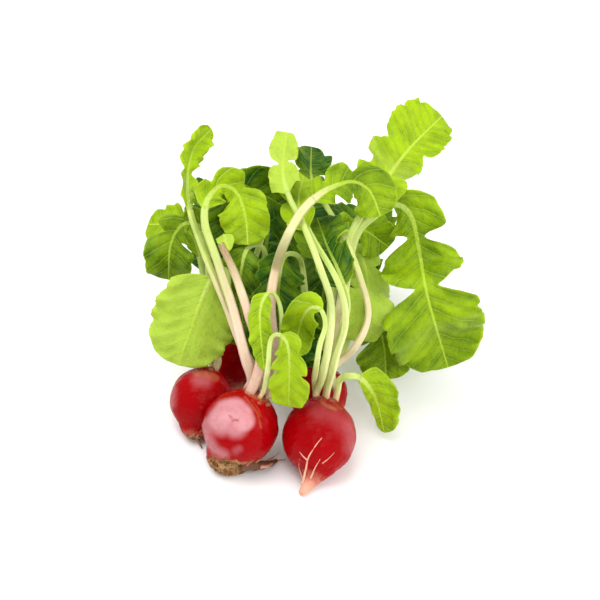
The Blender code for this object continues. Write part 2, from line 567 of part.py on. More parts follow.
def spread_stalks(placed):
    """Bends each stalk, between the crown and the blade, clear of the roots, other stalks and blades."""
    lines = {name: line.copy() for name, (line, _, _) in placed.items()}
    radii = {name: stalk_radius(LEAVES[name], share, length) for name, (_, share, length) in placed.items()}
    weight = {name: loose_part(LEAVES[name], share, length) for name, (_, share, length) in placed.items()}
    clouds = {name: blade_cloud(name, *placed[name]) for name in lines}
    stems = {name: int(LEAVES[name]["blade"] * (len(lines[name]) - 1)) + 1 for name in lines}
    moved = {name: np.zeros_like(line) for name, line in lines.items()}
    near = {}
    for count in range(SPREAD_PASSES):
        now = {name: lines[name] + moved[name] for name in lines}
        for name in lines:
            loose = weight[name] > 0
            here, room = now[name][loose], radii[name][loose]
            if count % NEAR_EVERY == 0:
                around = [near_points(here, clouds[other], NEAR_REACH) for other in lines if other != name]
                near[name] = [cloud for cloud in around if len(cloud)]
            push = sum(off_root(here, room, root) for root in ROOTS)
            low, high = here.min(axis=0) - STEM_REACH, here.max(axis=0) + STEM_REACH
            for other in lines:
                stem = now[other][:stems[other]]
                close = np.all((stem > low) & (stem < high), axis=1)
                if other != name and close.any():
                    both = room[:, None] + radii[other][:len(stem)][close][None] + STALK_ROOM
                    push += 0.5 * apart(here, stem[close], both)
            for cloud in near[name]:
                push += apart(here, cloud, room[:, None] + BLADE_THICK / 2 + STALK_ROOM)
            moved[name][loose] += PUSH_SHARE * push
            for _ in range(3):
                before, after = moved[name][:-2], moved[name][2:]
                moved[name][1:-1] = 0.25 * before + 0.5 * moved[name][1:-1] + 0.25 * after
            moved[name] *= (weight[name] > 0)[:, None]
    return {name: (lines[name] + moved[name] * np.minimum(weight[name] * 3, 1)[:, None], *placed[name][1:])
            for name in lines}


def leaf_sections(item, placed, name, where, across=ACROSS):
    """Closed sections of the leaf at shares `where` of its rib, with points above and below each `across`."""
    surface, face, thick, _ = leaf_surface(item, *placed, where, across, random.Random(SEED + name))
    over = surface + face[:, None] * thick[..., None]
    under = surface - face[:, None] * thick[..., None]
    return np.concatenate([over, under[:, ::-1]], axis=1)


def material(name, colour, roughness):
    made = bpy.data.materials.get(name) or bpy.data.materials.new(name)
    made.use_nodes = True
    shader = made.node_tree.nodes["Principled BSDF"]
    shader.inputs["Base Color"].default_value = (*colour, 1)
    shader.inputs["Roughness"].default_value = roughness
    shader.inputs["Metallic"].default_value = 0
    made.diffuse_color = (*colour, 1)
    return made


def loft(name, rings, finish, cut_flat=False):
    """A closed solid through the rings. Both halves of a ring are split alike, so that a thin blade's faces,
    which lie one over the other, don't cross."""
    mesh = bmesh.new()
    rows = [[mesh.verts.new(p * MM) for p in ring] for ring in rings]
    count = len(rows[0])
    for low, high in zip(rows, rows[1:]):
        for i in range(count):
            j = (i + 1) % count
            if i < count // 2:
                mesh.faces.new((low[i], low[j], high[j]))
                mesh.faces.new((low[i], high[j], high[i]))
            else:
                mesh.faces.new((low[i], low[j], high[i]))
                mesh.faces.new((low[j], high[j], high[i]))
    for ring in (rows[0], rows[-1]):
        mesh.faces.new(ring)
    bmesh.ops.recalc_face_normals(mesh, faces=mesh.faces)
    if cut_flat:
        bmesh.ops.bisect_plane(mesh, geom=mesh.verts[:] + mesh.edges[:] + mesh.faces[:], plane_co=(0, 0, 0),
                               plane_no=(0, 0, -1), clear_outer=True)
        bmesh.ops.holes_fill(mesh, edges=[e for e in mesh.edges if e.is_boundary])
    data = bpy.data.meshes.new(name)
    bmesh.ops.triangulate(mesh, faces=mesh.faces)
    mesh.to_mesh(data)
    mesh.free()
    data.materials.append(finish)
    data.shade_smooth()
    data.set_sharp_from_angle(angle=math.radians(50))
    made = bpy.data.objects.new(name, data)
    bunch.objects.link(made)
    return made


def centre_bunch(pieces):
    """Moves the pieces' meshes so that the middle of their box is over the origin."""
    corners = np.concatenate([np.array([v.co for v in made.data.vertices]) for made in pieces])
    middle = (corners.min(axis=0) + corners.max(axis=0)) / 2
    for made in pieces:
        made.data.transform(Matrix.Translation((-middle[0], -middle[1], 0)))


def build_roots(skin):
    for name in ROOTS:
        loft(f"root_{name}", RESTED[name][4], skin, cut_flat=True)


def build_leaves(pale, green):
    """Each leaf's stalk and its blade."""
    lines = spread_stalks(lay_leaves())
    for name, item in LEAVES.items():
        where = stalk_shares(item)
        loft(f"stalk_{name}", leaf_sections(item, lines[name], name, where, STALK_ACROSS), pale)
        if item["blade"] < 1:
            where = blade_shares(item, lines[name][2])
            loft(f"blade_{name}", leaf_sections(item, lines[name], name, where), green)


for old in list(bpy.data.objects):
    bpy.data.objects.remove(old)
bunch = bpy.data.collections.new("radish_bunch")
bpy.context.scene.collection.children.link(bunch)

RESTED = {name: rested_root(name) for name in ROOTS}
build_roots(material("red_skin", (0.55, 0.01, 0.02), 0.3))
build_leaves(material("pale_stalk", (0.78, 0.72, 0.46), 0.45),
             material("leaf_green", (0.30, 0.52, 0.04), 0.5))
centre_bunch(bunch.objects)
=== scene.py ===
"""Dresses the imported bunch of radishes: finer roots, stalks and leaves, their colours and a plain stage."""

import math
import random
from functools import lru_cache

import bpy
import numpy as np
from bpy.props import FloatProperty, FloatVectorProperty, PointerProperty
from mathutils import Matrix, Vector


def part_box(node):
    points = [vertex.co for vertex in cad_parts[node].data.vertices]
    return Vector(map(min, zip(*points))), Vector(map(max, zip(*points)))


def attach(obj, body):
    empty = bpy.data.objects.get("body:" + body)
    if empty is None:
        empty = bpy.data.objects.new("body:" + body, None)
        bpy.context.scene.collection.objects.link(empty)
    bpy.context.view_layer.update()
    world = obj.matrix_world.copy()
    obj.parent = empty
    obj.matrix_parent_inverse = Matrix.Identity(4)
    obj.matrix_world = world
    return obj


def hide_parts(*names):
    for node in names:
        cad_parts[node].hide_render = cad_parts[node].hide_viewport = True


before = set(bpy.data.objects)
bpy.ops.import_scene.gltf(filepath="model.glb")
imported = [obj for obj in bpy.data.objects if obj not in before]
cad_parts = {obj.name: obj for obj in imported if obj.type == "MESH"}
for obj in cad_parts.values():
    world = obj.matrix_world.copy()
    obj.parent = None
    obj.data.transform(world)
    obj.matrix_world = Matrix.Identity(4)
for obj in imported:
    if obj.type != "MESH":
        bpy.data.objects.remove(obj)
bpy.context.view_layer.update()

bl_info = {
    "name": "Radish Bunch",
    "version": (1, 0, 0),
    "blender": (4, 5, 0),
    "location": "View3D > Sidebar > Radishes",
    "description": "Builds the skin, stalks and leaves of a bunch of radishes and a stage to show it on",
    "category": "Add Mesh",
}

MM = 0.001
GAP = 0.35  # between pieces that touch
REST_CUT = 0.5  # depth of the flat spot that a root rests on
BLADE_THICK = 1.0
STALK_FLATTEN = 0.8  # a stalk's height over its width
SEED = "bunch"

ACROSS = (-1.0, -0.62, -0.26, 0.26, 0.62, 1.0)  # a blade's points from one edge to the other
TOOTH = 10.0  # between the crests of the teeth along a blade's edge
TOOTH_DEPTH = 0.11
WAVE_LENGTH = 26.0  # of the waves along a blade's edge
CRUMPLE_LENGTH = 19.0  # of the swells all over a blade
LOBE_PEAK = 0.38  # where along the end lobe it is widest
NOTCH_WIDTH = 0.17
BLADE_BASE = 0.10  # share of the blade's length over which it widens from the rib
TIP_POWER = 0.7  # how pointed the end lobe is
FOOT_WIDTH, FOOT_LENGTH = 0.55, 14.0  # a stalk's width at the crown over its own, and how soon it is full
BLADE_TAPER, TAPER_POWER = 0.78, 0.6  # how much of its width the rib loses along the blade, and how soon
EDGE_WAVE_POWER = 1.4  # how far out towards the edge the waves stay
RIB_SWELL = 0.25  # of a blade's swell that its rib follows

# The leaves are laid one over the other as seen from the eye, in a grid of what is nearest at each place.
CELL = 1.0
SEEN_LEFT, SEEN_LOW, SEEN_WIDE, SEEN_TALL = -110.0, -60.0, 220, 260
FINER = 4
CLEAR = 0.9  # between a leaf and what it lies on
TABLE_CLEAR = 0.4
OWN_ROOT_FROM = 22.0  # how far from its crown a leaf's stalk can meet its own root again
FREE_FROM, FREE_RISE = 7.0, 0.8  # a stalk's foot keeps its place, and further up it gives way more and more
SHIFT_REACH = 9.0  # along the rib, over which a shift is spread
CROWN_REACH = 0.85  # of the crown's radius, where the stalks stand
STALK_ROOM = 0.8
SPREAD_PASSES = 90
NEAR_EVERY = 12  # passes between two looks for what is near
NEAR_REACH = 12.0
STEM_REACH = 8.0
PUSH_SHARE = 0.7  # of the way clear that a stalk moves in one pass
FOOT_HELD, TOP_HELD = 1.0, 2.0  # how much of a stalk keeps its place, at the crown and at the blade
HELD_EASE = 6.0  # over which it gives way
FACE_PASSES = 60
BEND_ROWS, BEND_SPAN = 48, 7
BEND_ROOM = 0.72  # a blade's reach on the inside of a bend, over the distance at which it would meet itself

# The bunch is laid out as it is seen from a point in front of it and above it.
LOOK_DOWN = math.radians(38)
LOOK_FROM = 900.0
RIGHT = np.array([1.0, 0.0, 0.0])
AWAY = np.array([0.0, math.cos(LOOK_DOWN), -math.sin(LOOK_DOWN)])
UPWARD = np.array([0.0, math.sin(LOOK_DOWN), math.cos(LOOK_DOWN)])
FIRST_GLOBE = np.array([0.0, 0.0, 18.0])
AIM_ACROSS, AIM_UP = -9.5, 66.0
AIM = FIRST_GLOBE + AIM_ACROSS * RIGHT + AIM_UP * UPWARD
EYE = AIM - LOOK_FROM * AWAY

# A root's outline: distance from the globe's centre towards the tip, and radius, over the globe's radius.
ROUND_ROOT = ((-1.02, 0.36), (-0.96, 0.45), (-0.82, 0.62), (-0.58, 0.84), (-0.25, 0.98),
              (0.08, 1.0), (0.40, 0.93), (0.66, 0.77), (0.86, 0.58), (1.04, 0.39),
              (1.22, 0.24), (1.46, 0.14), (1.70, 0.08))
STUB_ROOT = ((-1.02, 0.34), (-0.96, 0.44), (-0.82, 0.62), (-0.58, 0.84), (-0.25, 0.98),
             (0.08, 1.0), (0.40, 0.93), (0.66, 0.76), (0.84, 0.57), (0.96, 0.47),
             (1.08, 0.40), (1.17, 0.28), (1.26, 0.13))
ROOT_SIDES = 16

# name: (across, up, height) of the globe's centre, radius, axis towards the crown, outline, bend of the tail
ROOTS = {
    "back": ((-41, 39, 16), 14.5, (-0.05, 0.62, 0.78), ROUND_ROOT, (2, -2, 9)),
    "left": ((-57.8, 18, 17), 15.9, (0.20, 0.72, 0.60), STUB_ROOT, (1, 0, 0)),
    "middle": ((-0.5, 20.5, 15), 14.5, (0.06, 0.72, 0.69), ROUND_ROOT, (-3, -1, 7)),
    "front_left": ((-38.7, 3.4, 21.5), 18.3, (0.42, 0.36, 0.78), STUB_ROOT, (60, -2, 0)),
    "front_right": ((0, 0, 19), 18.0, (0.16, 0.77, 0.62), ROUND_ROOT, (-5, -1, 5)),
}


def leaf(root, path, blade=0.5, half=14, pairs=2, end=0.5, turn=(0, 0), stalk=1.9, side=0.6, depth=0.6,
         fold=0.25, cup=0.0, wave=2.2, crumple=0.7, sweep=0.4, skew=0.0):
    """One leaf. path: (across, up, height) of the points that its rib runs through after the crown.
    blade: share of the rib where the blade starts. half: half the blade's greatest width.
    pairs: notches a side. end: share of the blade at the last notch, where the end lobe starts.
    depth: how deep the notches are cut. side: the width at the blade's base over the greatest.
    turn: degrees that the face is turned away at the blade's base and tip. fold, cup, wave, crumple: how
    the halves fold up, bow, wave at the edge and swell all over. sweep: how the side veins lean towards
    the tip. skew: how much wider the left half is than the right."""
    return dict(root=root, path=path, blade=blade, half=half, pairs=pairs, end=end, turn=turn,
                stalk=stalk, side=side, depth=depth, fold=fold, cup=cup, wave=wave, crumple=crumple,
                sweep=sweep, skew=skew)


# The leaves from the one that lies furthest back to the one in front.
LEAVES = {
    "back_first": leaf("back", [(-44, 62, 34), (-50, 84, 44), (-51, 104, 48), (-47, 122, 42)],
                       0.30, 19, 3, 0.6, turn=(-20, 10), depth=0.35, side=0.8, crumple=1.2),
    "back_second": leaf("back", [(-35, 62, 34), (-28, 84, 44), (-25, 104, 48), (-27, 124, 42)],
                        0.26, 20, 3, 0.6, turn=(15, -10), depth=0.35, side=0.8, crumple=1.2),
    "back_third": leaf("middle", [(-4, 52, 34), (-8, 74, 44), (-8, 96, 48), (-5, 120, 42)],
                       0.26, 21, 3, 0.6, turn=(-10, 15), depth=0.35, side=0.8, crumple=1.2),
    "back_right": leaf("middle", [(6, 50, 33), (13, 72, 43), (17, 92, 46), (24, 110, 40)],
                       0.28, 18, 3, 0.55, turn=(12, -12), depth=0.35, side=0.8, crumple=1.2),
    "left_flag": leaf("left", [(-56, 44, 32), (-56, 69, 50), (-60, 92, 64), (-68, 102, 72), (-84, 103, 66)],
                      0.60, 12, 2, 0.5, turn=(40, 30), side=0.5),
    "left_upper": leaf("left", [(-55, 44, 34), (-54, 69, 52), (-55, 90, 68), (-59, 102, 75), (-67, 103, 73),
                                (-73, 93, 63), (-74, 76, 50)],
                       0.62, 13, 2, 0.5, turn=(10, 0), stalk=1.8),
    "dark_upper": leaf("back", [(-41, 66, 44), (-44, 92, 68), (-42, 109, 80), (-31, 118, 84),
                                (-17, 112, 78)],
                       0.40, 15, 2, 0.5, turn=(-15, 10), crumple=1.0),
    "dark_hanging": leaf("back", [(-38, 68, 47), (-29, 94, 70), (-26, 108, 80), (-32, 118, 86),
                                  (-41, 114, 84), (-45, 100, 73), (-44, 84, 62)],
                         0.64, 12, 0, 0.0, turn=(0, 0), stalk=1.5),
    "inner_left": leaf("back", [(-31, 60, 40), (-26, 80, 54), (-28, 92, 62), (-36, 90, 62), (-39, 68, 50),
                                (-35, 44, 36)],
                       0.54, 17, 2, 0.5, turn=(20, 30), stalk=1.4, wave=2.8, crumple=1.2, depth=0.4),
    "inner_right": leaf("middle", [(-6, 52, 40), (-7, 72, 56), (-10, 87, 63), (-18, 86, 62), (-20, 62, 50),
                                   (-15, 34, 34)],
                        0.52, 20, 2, 0.5, turn=(-20, 10), stalk=1.4, wave=2.8, crumple=1.2, depth=0.4),
    "right_low": leaf("middle", [(10, 39, 31), (16, 52, 38), (24, 57, 38), (31, 47, 26), (33, 27, 8)],
                      0.42, 15, 2, 0.5, turn=(10, 0), stalk=1.6, wave=2.6, crumple=1.0),
    "right_pale": leaf("middle", [(4, 50, 42), (8, 74, 60), (13, 87, 66), (21, 86, 65), (24, 68, 54),
                                  (21, 46, 38)],
                       0.54, 15, 2, 0.5, turn=(160, 180), stalk=1.5, wave=2.6, crumple=1.2),
    "right_mid": leaf("middle", [(4, 50, 46), (6, 74, 64), (11, 95, 78), (20, 101, 78), (34, 92, 66)],
                      0.58, 12, 2, 0.5, turn=(-10, 10), stalk=1.5, wave=2.4),
    "right_hanging": leaf("middle", [(10, 46, 38), (13, 73, 58), (18, 97, 74), (27, 107, 80), (37, 113, 82),
                                     (45, 107, 75), (49, 90, 60), (53, 68, 40), (63, 33, 5)],
                          0.51, 25, 2, 0.52, turn=(10, 0), stalk=1.9, side=0.62, depth=0.85, wave=1.8),
    "right_tall": leaf("middle", [(7, 47, 42), (11, 69, 56), (15, 97, 73), (28, 118, 84), (43, 139, 86),
                                  (60, 156, 82)],
                       0.50, 17.5, 2, 0.52, turn=(0, 0), stalk=2.0, side=0.8, depth=0.4, wave=1.8,
                       skew=0.2),
    "dark_top": leaf("front_right", [(6, 32, 40), (17, 42, 46), (24, 58, 56), (20, 77, 70), (12, 97, 84),
                                     (1, 116, 91), (-4, 126, 93), (-4, 141, 91)],
                     0.74, 11, 1, 0.4, turn=(25, 10), stalk=1.7),
    "small_upper": leaf("front_right", [(7, 40, 44), (14, 62, 58), (10, 79, 68), (4, 92, 76),
                                        (-1, 106, 76)],
                        0.56, 14, 1, 0.4, turn=(-25, 10), stalk=1.5, crumple=1.0),
    "curly_top": leaf("front_right", [(8, 38, 49), (13, 56, 61), (9, 75, 73), (-3, 96, 85), (-10, 112, 91),
                                      (-8, 127, 88)],
                      0.66, 13, 1, 0.4, turn=(-30, 30), stalk=1.6, wave=3.2),
    "pale_top": leaf("front_right", [(4, 42, 52), (6, 63, 65), (0, 83, 76), (-8, 103, 85), (-15, 117, 90),
                                     (-18, 130, 94), (-16, 148, 95)],
                     0.70, 8, 1, 0.42, turn=(170, 190), stalk=1.7, side=1.0, depth=0.75),
    "arched": leaf("front_left", [(-22, 39, 52), (-24, 64, 66), (-20, 86, 76), (-11, 106, 86),
                                  (-1, 117, 91), (8, 122, 91), (17, 124, 89), (25, 119, 84), (30, 107, 76)],
                   0.68, 13, 2, 0.5, turn=(0, 0), stalk=2.5, cup=0.15, fold=0.1),
    "left_round": leaf("left", [(-53, 46, 38), (-50, 62, 50), (-45, 73, 60), (-47, 81, 65), (-54, 74, 62),
                                (-63, 52, 46), (-69, 34, 30)],
                       0.57, 22, 0, 0.0, turn=(180, 180), stalk=1.9, wave=1.8, sweep=0.3, side=0.8),
    "left_tall": leaf("front_left", [(-38, 43, 46), (-46, 64, 56), (-56, 88, 70), (-63, 108, 80),
                                     (-65, 124, 88), (-62, 140, 95), (-53, 150, 99)],
                      0.66, 7.5, 1, 0.45, turn=(50, 30), stalk=2.2),
    "left_crown": leaf("front_left", [(-37, 41, 50), (-43, 64, 62), (-51, 88, 74), (-56, 103, 82),
                                      (-55, 115, 88), (-48, 122, 90), (-40, 118, 86), (-36, 106, 78),
                                      (-35, 93, 69)],
                       0.65, 13, 2, 0.5, turn=(10, 10), stalk=2.3),
    "snapped": leaf("front_left", [(-28.5, 38, 57), (-35, 60, 71), (-41.5, 79, 82), (-48, 93, 90)],
                    1.0, stalk=2.6),
    "front_blade": leaf("front_left", [(-19, 44, 58), (-19, 62, 68), (-24, 70, 73), (-29, 60, 70),
                                       (-27, 32, 50)],
                        0.60, 6, 0, 0.0, turn=(20, 20), stalk=1.2, wave=1.0, side=0.8),
    "front_pointed": leaf("front_right", [(0, 42, 53), (3, 54, 60), (0, 62, 64), (-6, 61, 63),
                                          (-10, 51, 57), (-12, 38, 50)],
                          0.60, 9, 0, 0.0, turn=(0, 10), stalk=1.3, wave=1.2, side=0.8),
    "front_small": leaf("front_left", [(-25, 34, 57), (-24, 46, 66), (-20, 49, 69), (-15, 42, 64),
                                       (-15, 14, 34)],
                        0.50, 10, 2, 0.5, turn=(10, 0), stalk=1.2, wave=1.6, side=0.7, depth=0.4),
    "front_right": leaf("front_right", [(10, 27, 38), (16, 29, 41), (22, 26, 36), (28, 17, 22), (32, 1, 5)],
                        0.36, 8, 0, 0.0, turn=(-10, 30), stalk=1.6, wave=1.2, side=0.8, skew=0.45),
}


def laid(across, up, height):
    """The place at this height above the table that shows at (across, up) from the first globe's centre."""
    ray = FIRST_GLOBE + across * RIGHT + up * UPWARD - EYE
    return EYE + ray * ((height - EYE[2]) / ray[2])


def unit(v):
    return v / np.linalg.norm(v, axis=-1, keepdims=True)


def across_part(v, axis):
    """What is left of v square to the unit vector axis."""
    return v - np.sum(v * axis, axis=-1, keepdims=True) * axis


def square_to(axis):
    """Two directions square to the axis and to each other, the first as far to the right as it can be."""
    first = unit(across_part(RIGHT, axis))
    return first, np.cross(axis, first)


def turns(count):
    """Angles evenly once round, as one row."""
    return np.linspace(0, 2 * math.pi, count, endpoint=False)[None]


def circles(first, second, angle):
    """Where these angles are on a circle of radius 1 in each plane that first and second span."""
    return np.cos(angle)[..., None] * first[..., None, :] + np.sin(angle)[..., None] * second[..., None, :]


def smooth_path(points, steps=24, passes=14):
    """A smooth curve through the points: places a millimetre or so apart, and their shares of its length."""
    p = np.array([2 * points[0] - points[1], *points, 2 * points[-1] - points[-2]])
    t = np.linspace(0, 1, steps, endpoint=False)[:, None]
    spans = []
    for a, b, c, d in zip(p, p[1:], p[2:], p[3:]):
        spans.append(0.5 * (2 * b + (c - a) * t + (2 * a - 5 * b + 4 * c - d) * t**2
                            + (3 * b - a - 3 * c + d) * t**3))
    line = np.vstack([*spans, points[-1:]])
    for _ in range(passes):
        line[1:-1] = 0.25 * line[:-2] + 0.5 * line[1:-1] + 0.25 * line[2:]
    return evenly(line)


def evenly(line):
    """The line in steps of about a millimetre, their shares of its length, and its length."""
    run = np.concatenate([[0], np.cumsum(np.linalg.norm(np.diff(line, axis=0), axis=1))])
    share = np.linspace(0, 1, int(run[-1]) + 2)
    return along(line, run / run[-1], share), share, run[-1]


def along(line, share, where):
    """The line's points at shares `where` of its length."""
    return np.column_stack([np.interp(where, share, line[:, i]) for i in range(3)])


def rings_about(centre, radius, axis, outline, bend):
    """A root's rings from crown to tip: sections square to a line that bends past the globe."""
    down = np.array([z for z, _ in outline]) * radius
    past = np.clip(down / radius - 0.8, 0, None)[:, None]
    line = centre - axis * down[:, None] + bend * past**2
    forward = unit(np.gradient(line, axis=0))
    circle = circles(*square_to(forward), turns(ROOT_SIDES))
    return line[:, None] + circle * (np.array([r for _, r in outline]) * radius)[:, None, None]


def rested_root(name):
    """The root's centre, radius, axis, outline and rings, its lowest points a little under the table top."""
    (across, up, height), radius, axis, outline, bend = ROOTS[name]
    centre, axis = laid(across, up, height), unit(np.array(axis))
    rings = rings_about(centre, radius, axis, outline, np.array(bend, float))
    rise = np.array([0, 0, -REST_CUT - rings[..., 2].min()])
    return centre + rise, radius, axis, outline, rings + rise


def crown_feet(root):
    """Where the stalks of this root stand: evenly round the crown, in the order in which they lean."""
    centre, radius, axis, outline, _ = RESTED[root]
    crown = centre - axis * outline[0][0] * radius + axis * 1.5 * GAP  # a tilted foot stays clear
    names = [n for n in LEAVES if LEAVES[n]["root"] == root]
    x, y = square_to(axis)
    lean = [across_part(laid(*LEAVES[n]["path"][1]) - crown, axis) for n in names]
    bearing = {n: math.atan2(v @ y, v @ x) for n, v in zip(names, lean)}
    order = sorted(names, key=bearing.get)
    step = 2 * math.pi / len(order)

    def misfit(start):
        return sum(1 - math.cos(bearing[n] - start - step * i) for i, n in enumerate(order))

    start = min(np.linspace(0, 2 * math.pi, 120), key=misfit)
    reach = outline[0][1] * radius * CROWN_REACH
    places = {}
    for i, n in enumerate(order):
        out = x * math.cos(start + step * i) + y * math.sin(start + step * i)
        foot = crown + out * reach
        places[n] = [foot, foot + axis * 5 + out * 0.4]
    return places


def coarse_tooth(place):
    """How deep the edge is cut at this place, counted in teeth: 1 between two teeth and 0 at a crest."""
    return np.abs(place % 1 - 0.5) * 2


def half_widths(item, t, blade_length, rng, tooth=coarse_tooth):
    """How far the blade reaches from its rib on the left and on the right, at shares t of its length."""
    end, peak = item["end"], item["end"] + (1 - item["end"]) * LOBE_PEAK
    rise = np.clip(t / max(peak, 1e-6), 0, 1)
    widen = item["side"] + (1 - item["side"]) * rise * rise * (3 - 2 * rise)
    tip = np.sqrt(np.clip(1 - (np.clip(t - peak, 0, None) / (1 - peak)) ** 2, 0, 1)) ** TIP_POWER
    base = np.sqrt(np.clip(t / BLADE_BASE, 0, 1))
    reach = (item["half"] * widen * tip * base)[:, None] * [1 + item["skew"], 1 - item["skew"]]
    for k in range(item["pairs"]):
        for hand in (0, 1):
            centre = end * (k + 1 + rng.uniform(-0.12, 0.12)) / item["pairs"]
            notch = np.exp(-((t - centre) * item["pairs"] / (NOTCH_WIDTH * end)) ** 2)
            reach[:, hand] *= 1 - item["depth"] * notch * rng.uniform(0.85, 1.0)
    teeth = max(round(blade_length / TOOTH), 2)
    deep = np.array([[rng.uniform(0.3, 1.1) for _ in range(2)] for _ in range(teeth + 1)])
    place = np.clip(t * teeth, 0, teeth - 1e-6)
    cut = deep[np.round(place).astype(int)] * TOOTH_DEPTH
    return reach * (1 - cut * tooth(t * teeth)[:, None])


def ripple(rng, x, y, size, waves=6, spread=1.6, ease=3.2):
    """A smooth uneven pattern, about 1 high, whose swells are about this size."""
    total = 0.0
    for _ in range(waves):
        turn = rng.uniform(0, 2 * math.pi)
        pitch = 2 * math.pi / (size * rng.uniform(0.7, spread))
        start = rng.uniform(0, 2 * math.pi)
        total = total + np.sin(pitch * (x * math.cos(turn) + y * math.sin(turn)) + start)
    return total / ease


def stalk_radius(item, where, length):
    """Half the stalk's width: slim where it joins the crown, widest above it, slim again along the blade."""
    t = np.clip((where - item["blade"]) / max(1 - item["blade"], 1e-6), 0, 1)
    foot = FOOT_WIDTH + (1 - FOOT_WIDTH) * np.clip(where * length / FOOT_LENGTH, 0, 1)
    return item["stalk"] * foot * (1.15 - 0.5 * where) * (1 - BLADE_TAPER * t**TAPER_POWER)


def frames(line):
    """The rib's direction and the way that the leaf faces, at each point of its line."""
    forward = unit(np.gradient(line, axis=0))
    face = across_part(unit(EYE - line), forward)
    for _ in range(FACE_PASSES):
        face[1:-1] = 0.25 * face[:-2] + 0.5 * face[1:-1] + 0.25 * face[2:]
    return forward, unit(across_part(face, forward))


def facing(item, line, share, where):
    """The rib's place, direction, sideways direction and facing at shares `where`, and the blade's share."""
    rib = along(line, share, where)
    forward, face = (along(v, share, where) for v in frames(line))
    forward = unit(forward)
    face = unit(across_part(face, forward))
    t = np.clip((where - item["blade"]) / max(1 - item["blade"], 1e-6), 0, 1)
    lateral = np.cross(forward, face)
    turn = np.radians(item["turn"][0] + (item["turn"][1] - item["turn"][0]) * t)[:, None]
    cosine, sine = np.cos(turn), np.sin(turn)
    return rib, forward, lateral * cosine - face * sine, face * cosine + lateral * sine, t


def bend_limits(item, line, share, where):
    """How far the blade can reach left and right, at shares `where`, before it meets itself in a bend."""
    rows = np.linspace(item["blade"], 1, BEND_ROWS)
    rib, forward, lateral, _, t = facing(item, line, share, rows)
    lean = item["sweep"] * np.clip(1 - t, 0, 1)[:, None] * forward
    order = np.arange(BEND_ROWS)
    close = np.abs(order[:, None] - order[None]) <= BEND_SPAN
    ahead = np.einsum("kmi,ki->km", rib[None] - rib[:, None], forward)
    limits = []
    for side in (-1, 1):
        run = side * lateral + lean
        closing = -np.einsum("kmi,ki->km", run[None] - run[:, None], forward)
        meets = close & (ahead * closing > 0) & ((order[None] - order[:, None]) * ahead > 0)
        meet = np.where(meets, ahead / np.where(meets, closing, 1), 10 * item["half"])
        room = BEND_ROOM * meet.min(axis=1)
        room = np.convolve(np.pad(room, 2, mode="edge"), [0.1, 0.2, 0.4, 0.2, 0.1], "valid")
        limits.append(np.interp(where, rows, room))
    return np.stack(limits, 1)


def leaf_surface(item, line, share, length, where, across, rng, tooth=coarse_tooth):
    """The leaf's middle surface at shares `where` of its rib and at fractions `across` from edge to edge:
    points, face normals, half the thickness there and how far out from the rib each point is."""
    rib, forward, lateral, face, t = facing(item, line, share, where)
    radius = stalk_radius(item, where, length)
    reach = np.zeros((len(t), 2))
    if item["blade"] < 1:
        reach = half_widths(item, t, (1 - item["blade"]) * length, rng, tooth)
        reach = np.minimum(reach, bend_limits(item, line, share, where))
    phase = [rng.uniform(0, 2 * math.pi) for _ in range(2)]
    tilt = [rng.uniform(-0.25, 0.25) for _ in range(2)]
    swells = rng.random()
    points, thick, out = [], [], []
    for v in across:
        hand = int(v > 0)
        wide = np.maximum(reach[:, hand], radius)
        y = abs(v) * wide
        span = np.clip(wide / max(item["half"], 1) - 0.1, 0, 1)
        run = where * length
        wave = np.sin(run * 2 * math.pi / WAVE_LENGTH + phase[hand])
        wave *= item["wave"] * span * abs(v) ** EDGE_WAVE_POWER
        rough = ripple(random.Random(swells), run, math.copysign(1, v) * y, CRUMPLE_LENGTH, 5, 1.5, 2)
        swell = RIB_SWELL + (1 - RIB_SWELL) * abs(v)
        wave += item["crumple"] * span * swell * np.clip(y / 3, 0, 1) * rough
        lift = (item["fold"] + tilt[hand]) * span * y - item["cup"] * y**2 / item["half"] + wave
        ahead_by = item["sweep"] * y * np.clip(1 - t, 0, 1) * span
        points.append(rib + lateral * (math.copysign(1, v) * y)[:, None] + face * lift[:, None]
                      + forward * ahead_by[:, None])
        bulge = np.sqrt(np.clip(1 - (y / radius) ** 2, 0, 1))
        half_rib = np.maximum(radius * STALK_FLATTEN, BLADE_THICK / 2)
        thick.append(BLADE_THICK / 2 + (half_rib - BLADE_THICK / 2) * bulge)
        out.append(math.copysign(1, v) * y)
    return np.stack(points, 1), face, np.stack(thick, 1), np.stack(out, 1)


def seen(points):
    """(across, up, distance) of points as they show from the eye."""
    ray = points - EYE
    far = ray @ AWAY
    scale = LOOK_FROM / far
    return ray @ RIGHT * scale + AIM_ACROSS, ray @ UPWARD * scale + AIM_UP, far


def cells(points):
    """Where points lie in the grid, and how far they are from the eye."""
    across, up, far = seen(points)
    i = np.clip(((across - SEEN_LEFT) / CELL).astype(int), 1, SEEN_WIDE - 2)
    j = np.clip(((up - SEEN_LOW) / CELL).astype(int), 1, SEEN_TALL - 2)
    return i, j, far


def denser(grid, times=FINER):
    """The grid of points with more rows and columns, on the straight lines between them."""
    for axis in (0, 1):
        n = grid.shape[axis]
        where = np.linspace(0, n - 1, (n - 1) * times + 1)
        low = np.clip(where.astype(int), 0, n - 2)
        part = where - low
        shape = [1] * grid.ndim
        shape[axis] = -1
        part = part.reshape(shape)
        grid = np.take(grid, low, axis) * (1 - part) + np.take(grid, low + 1, axis) * part
    return grid


def table_distance():
    """The grid before anything is laid: how far the table top is."""
    across, up = np.meshgrid(SEEN_LEFT + (np.arange(SEEN_WIDE) + 0.5) * CELL,
                             SEEN_LOW + (np.arange(SEEN_TALL) + 0.5) * CELL, indexing="ij")
    ray = FIRST_GLOBE + across[..., None] * RIGHT + up[..., None] * UPWARD - EYE
    far = LOOK_FROM * (TABLE_CLEAR - EYE[2]) / ray[..., 2]
    return np.where(ray[..., 2] < 0, far, np.inf)


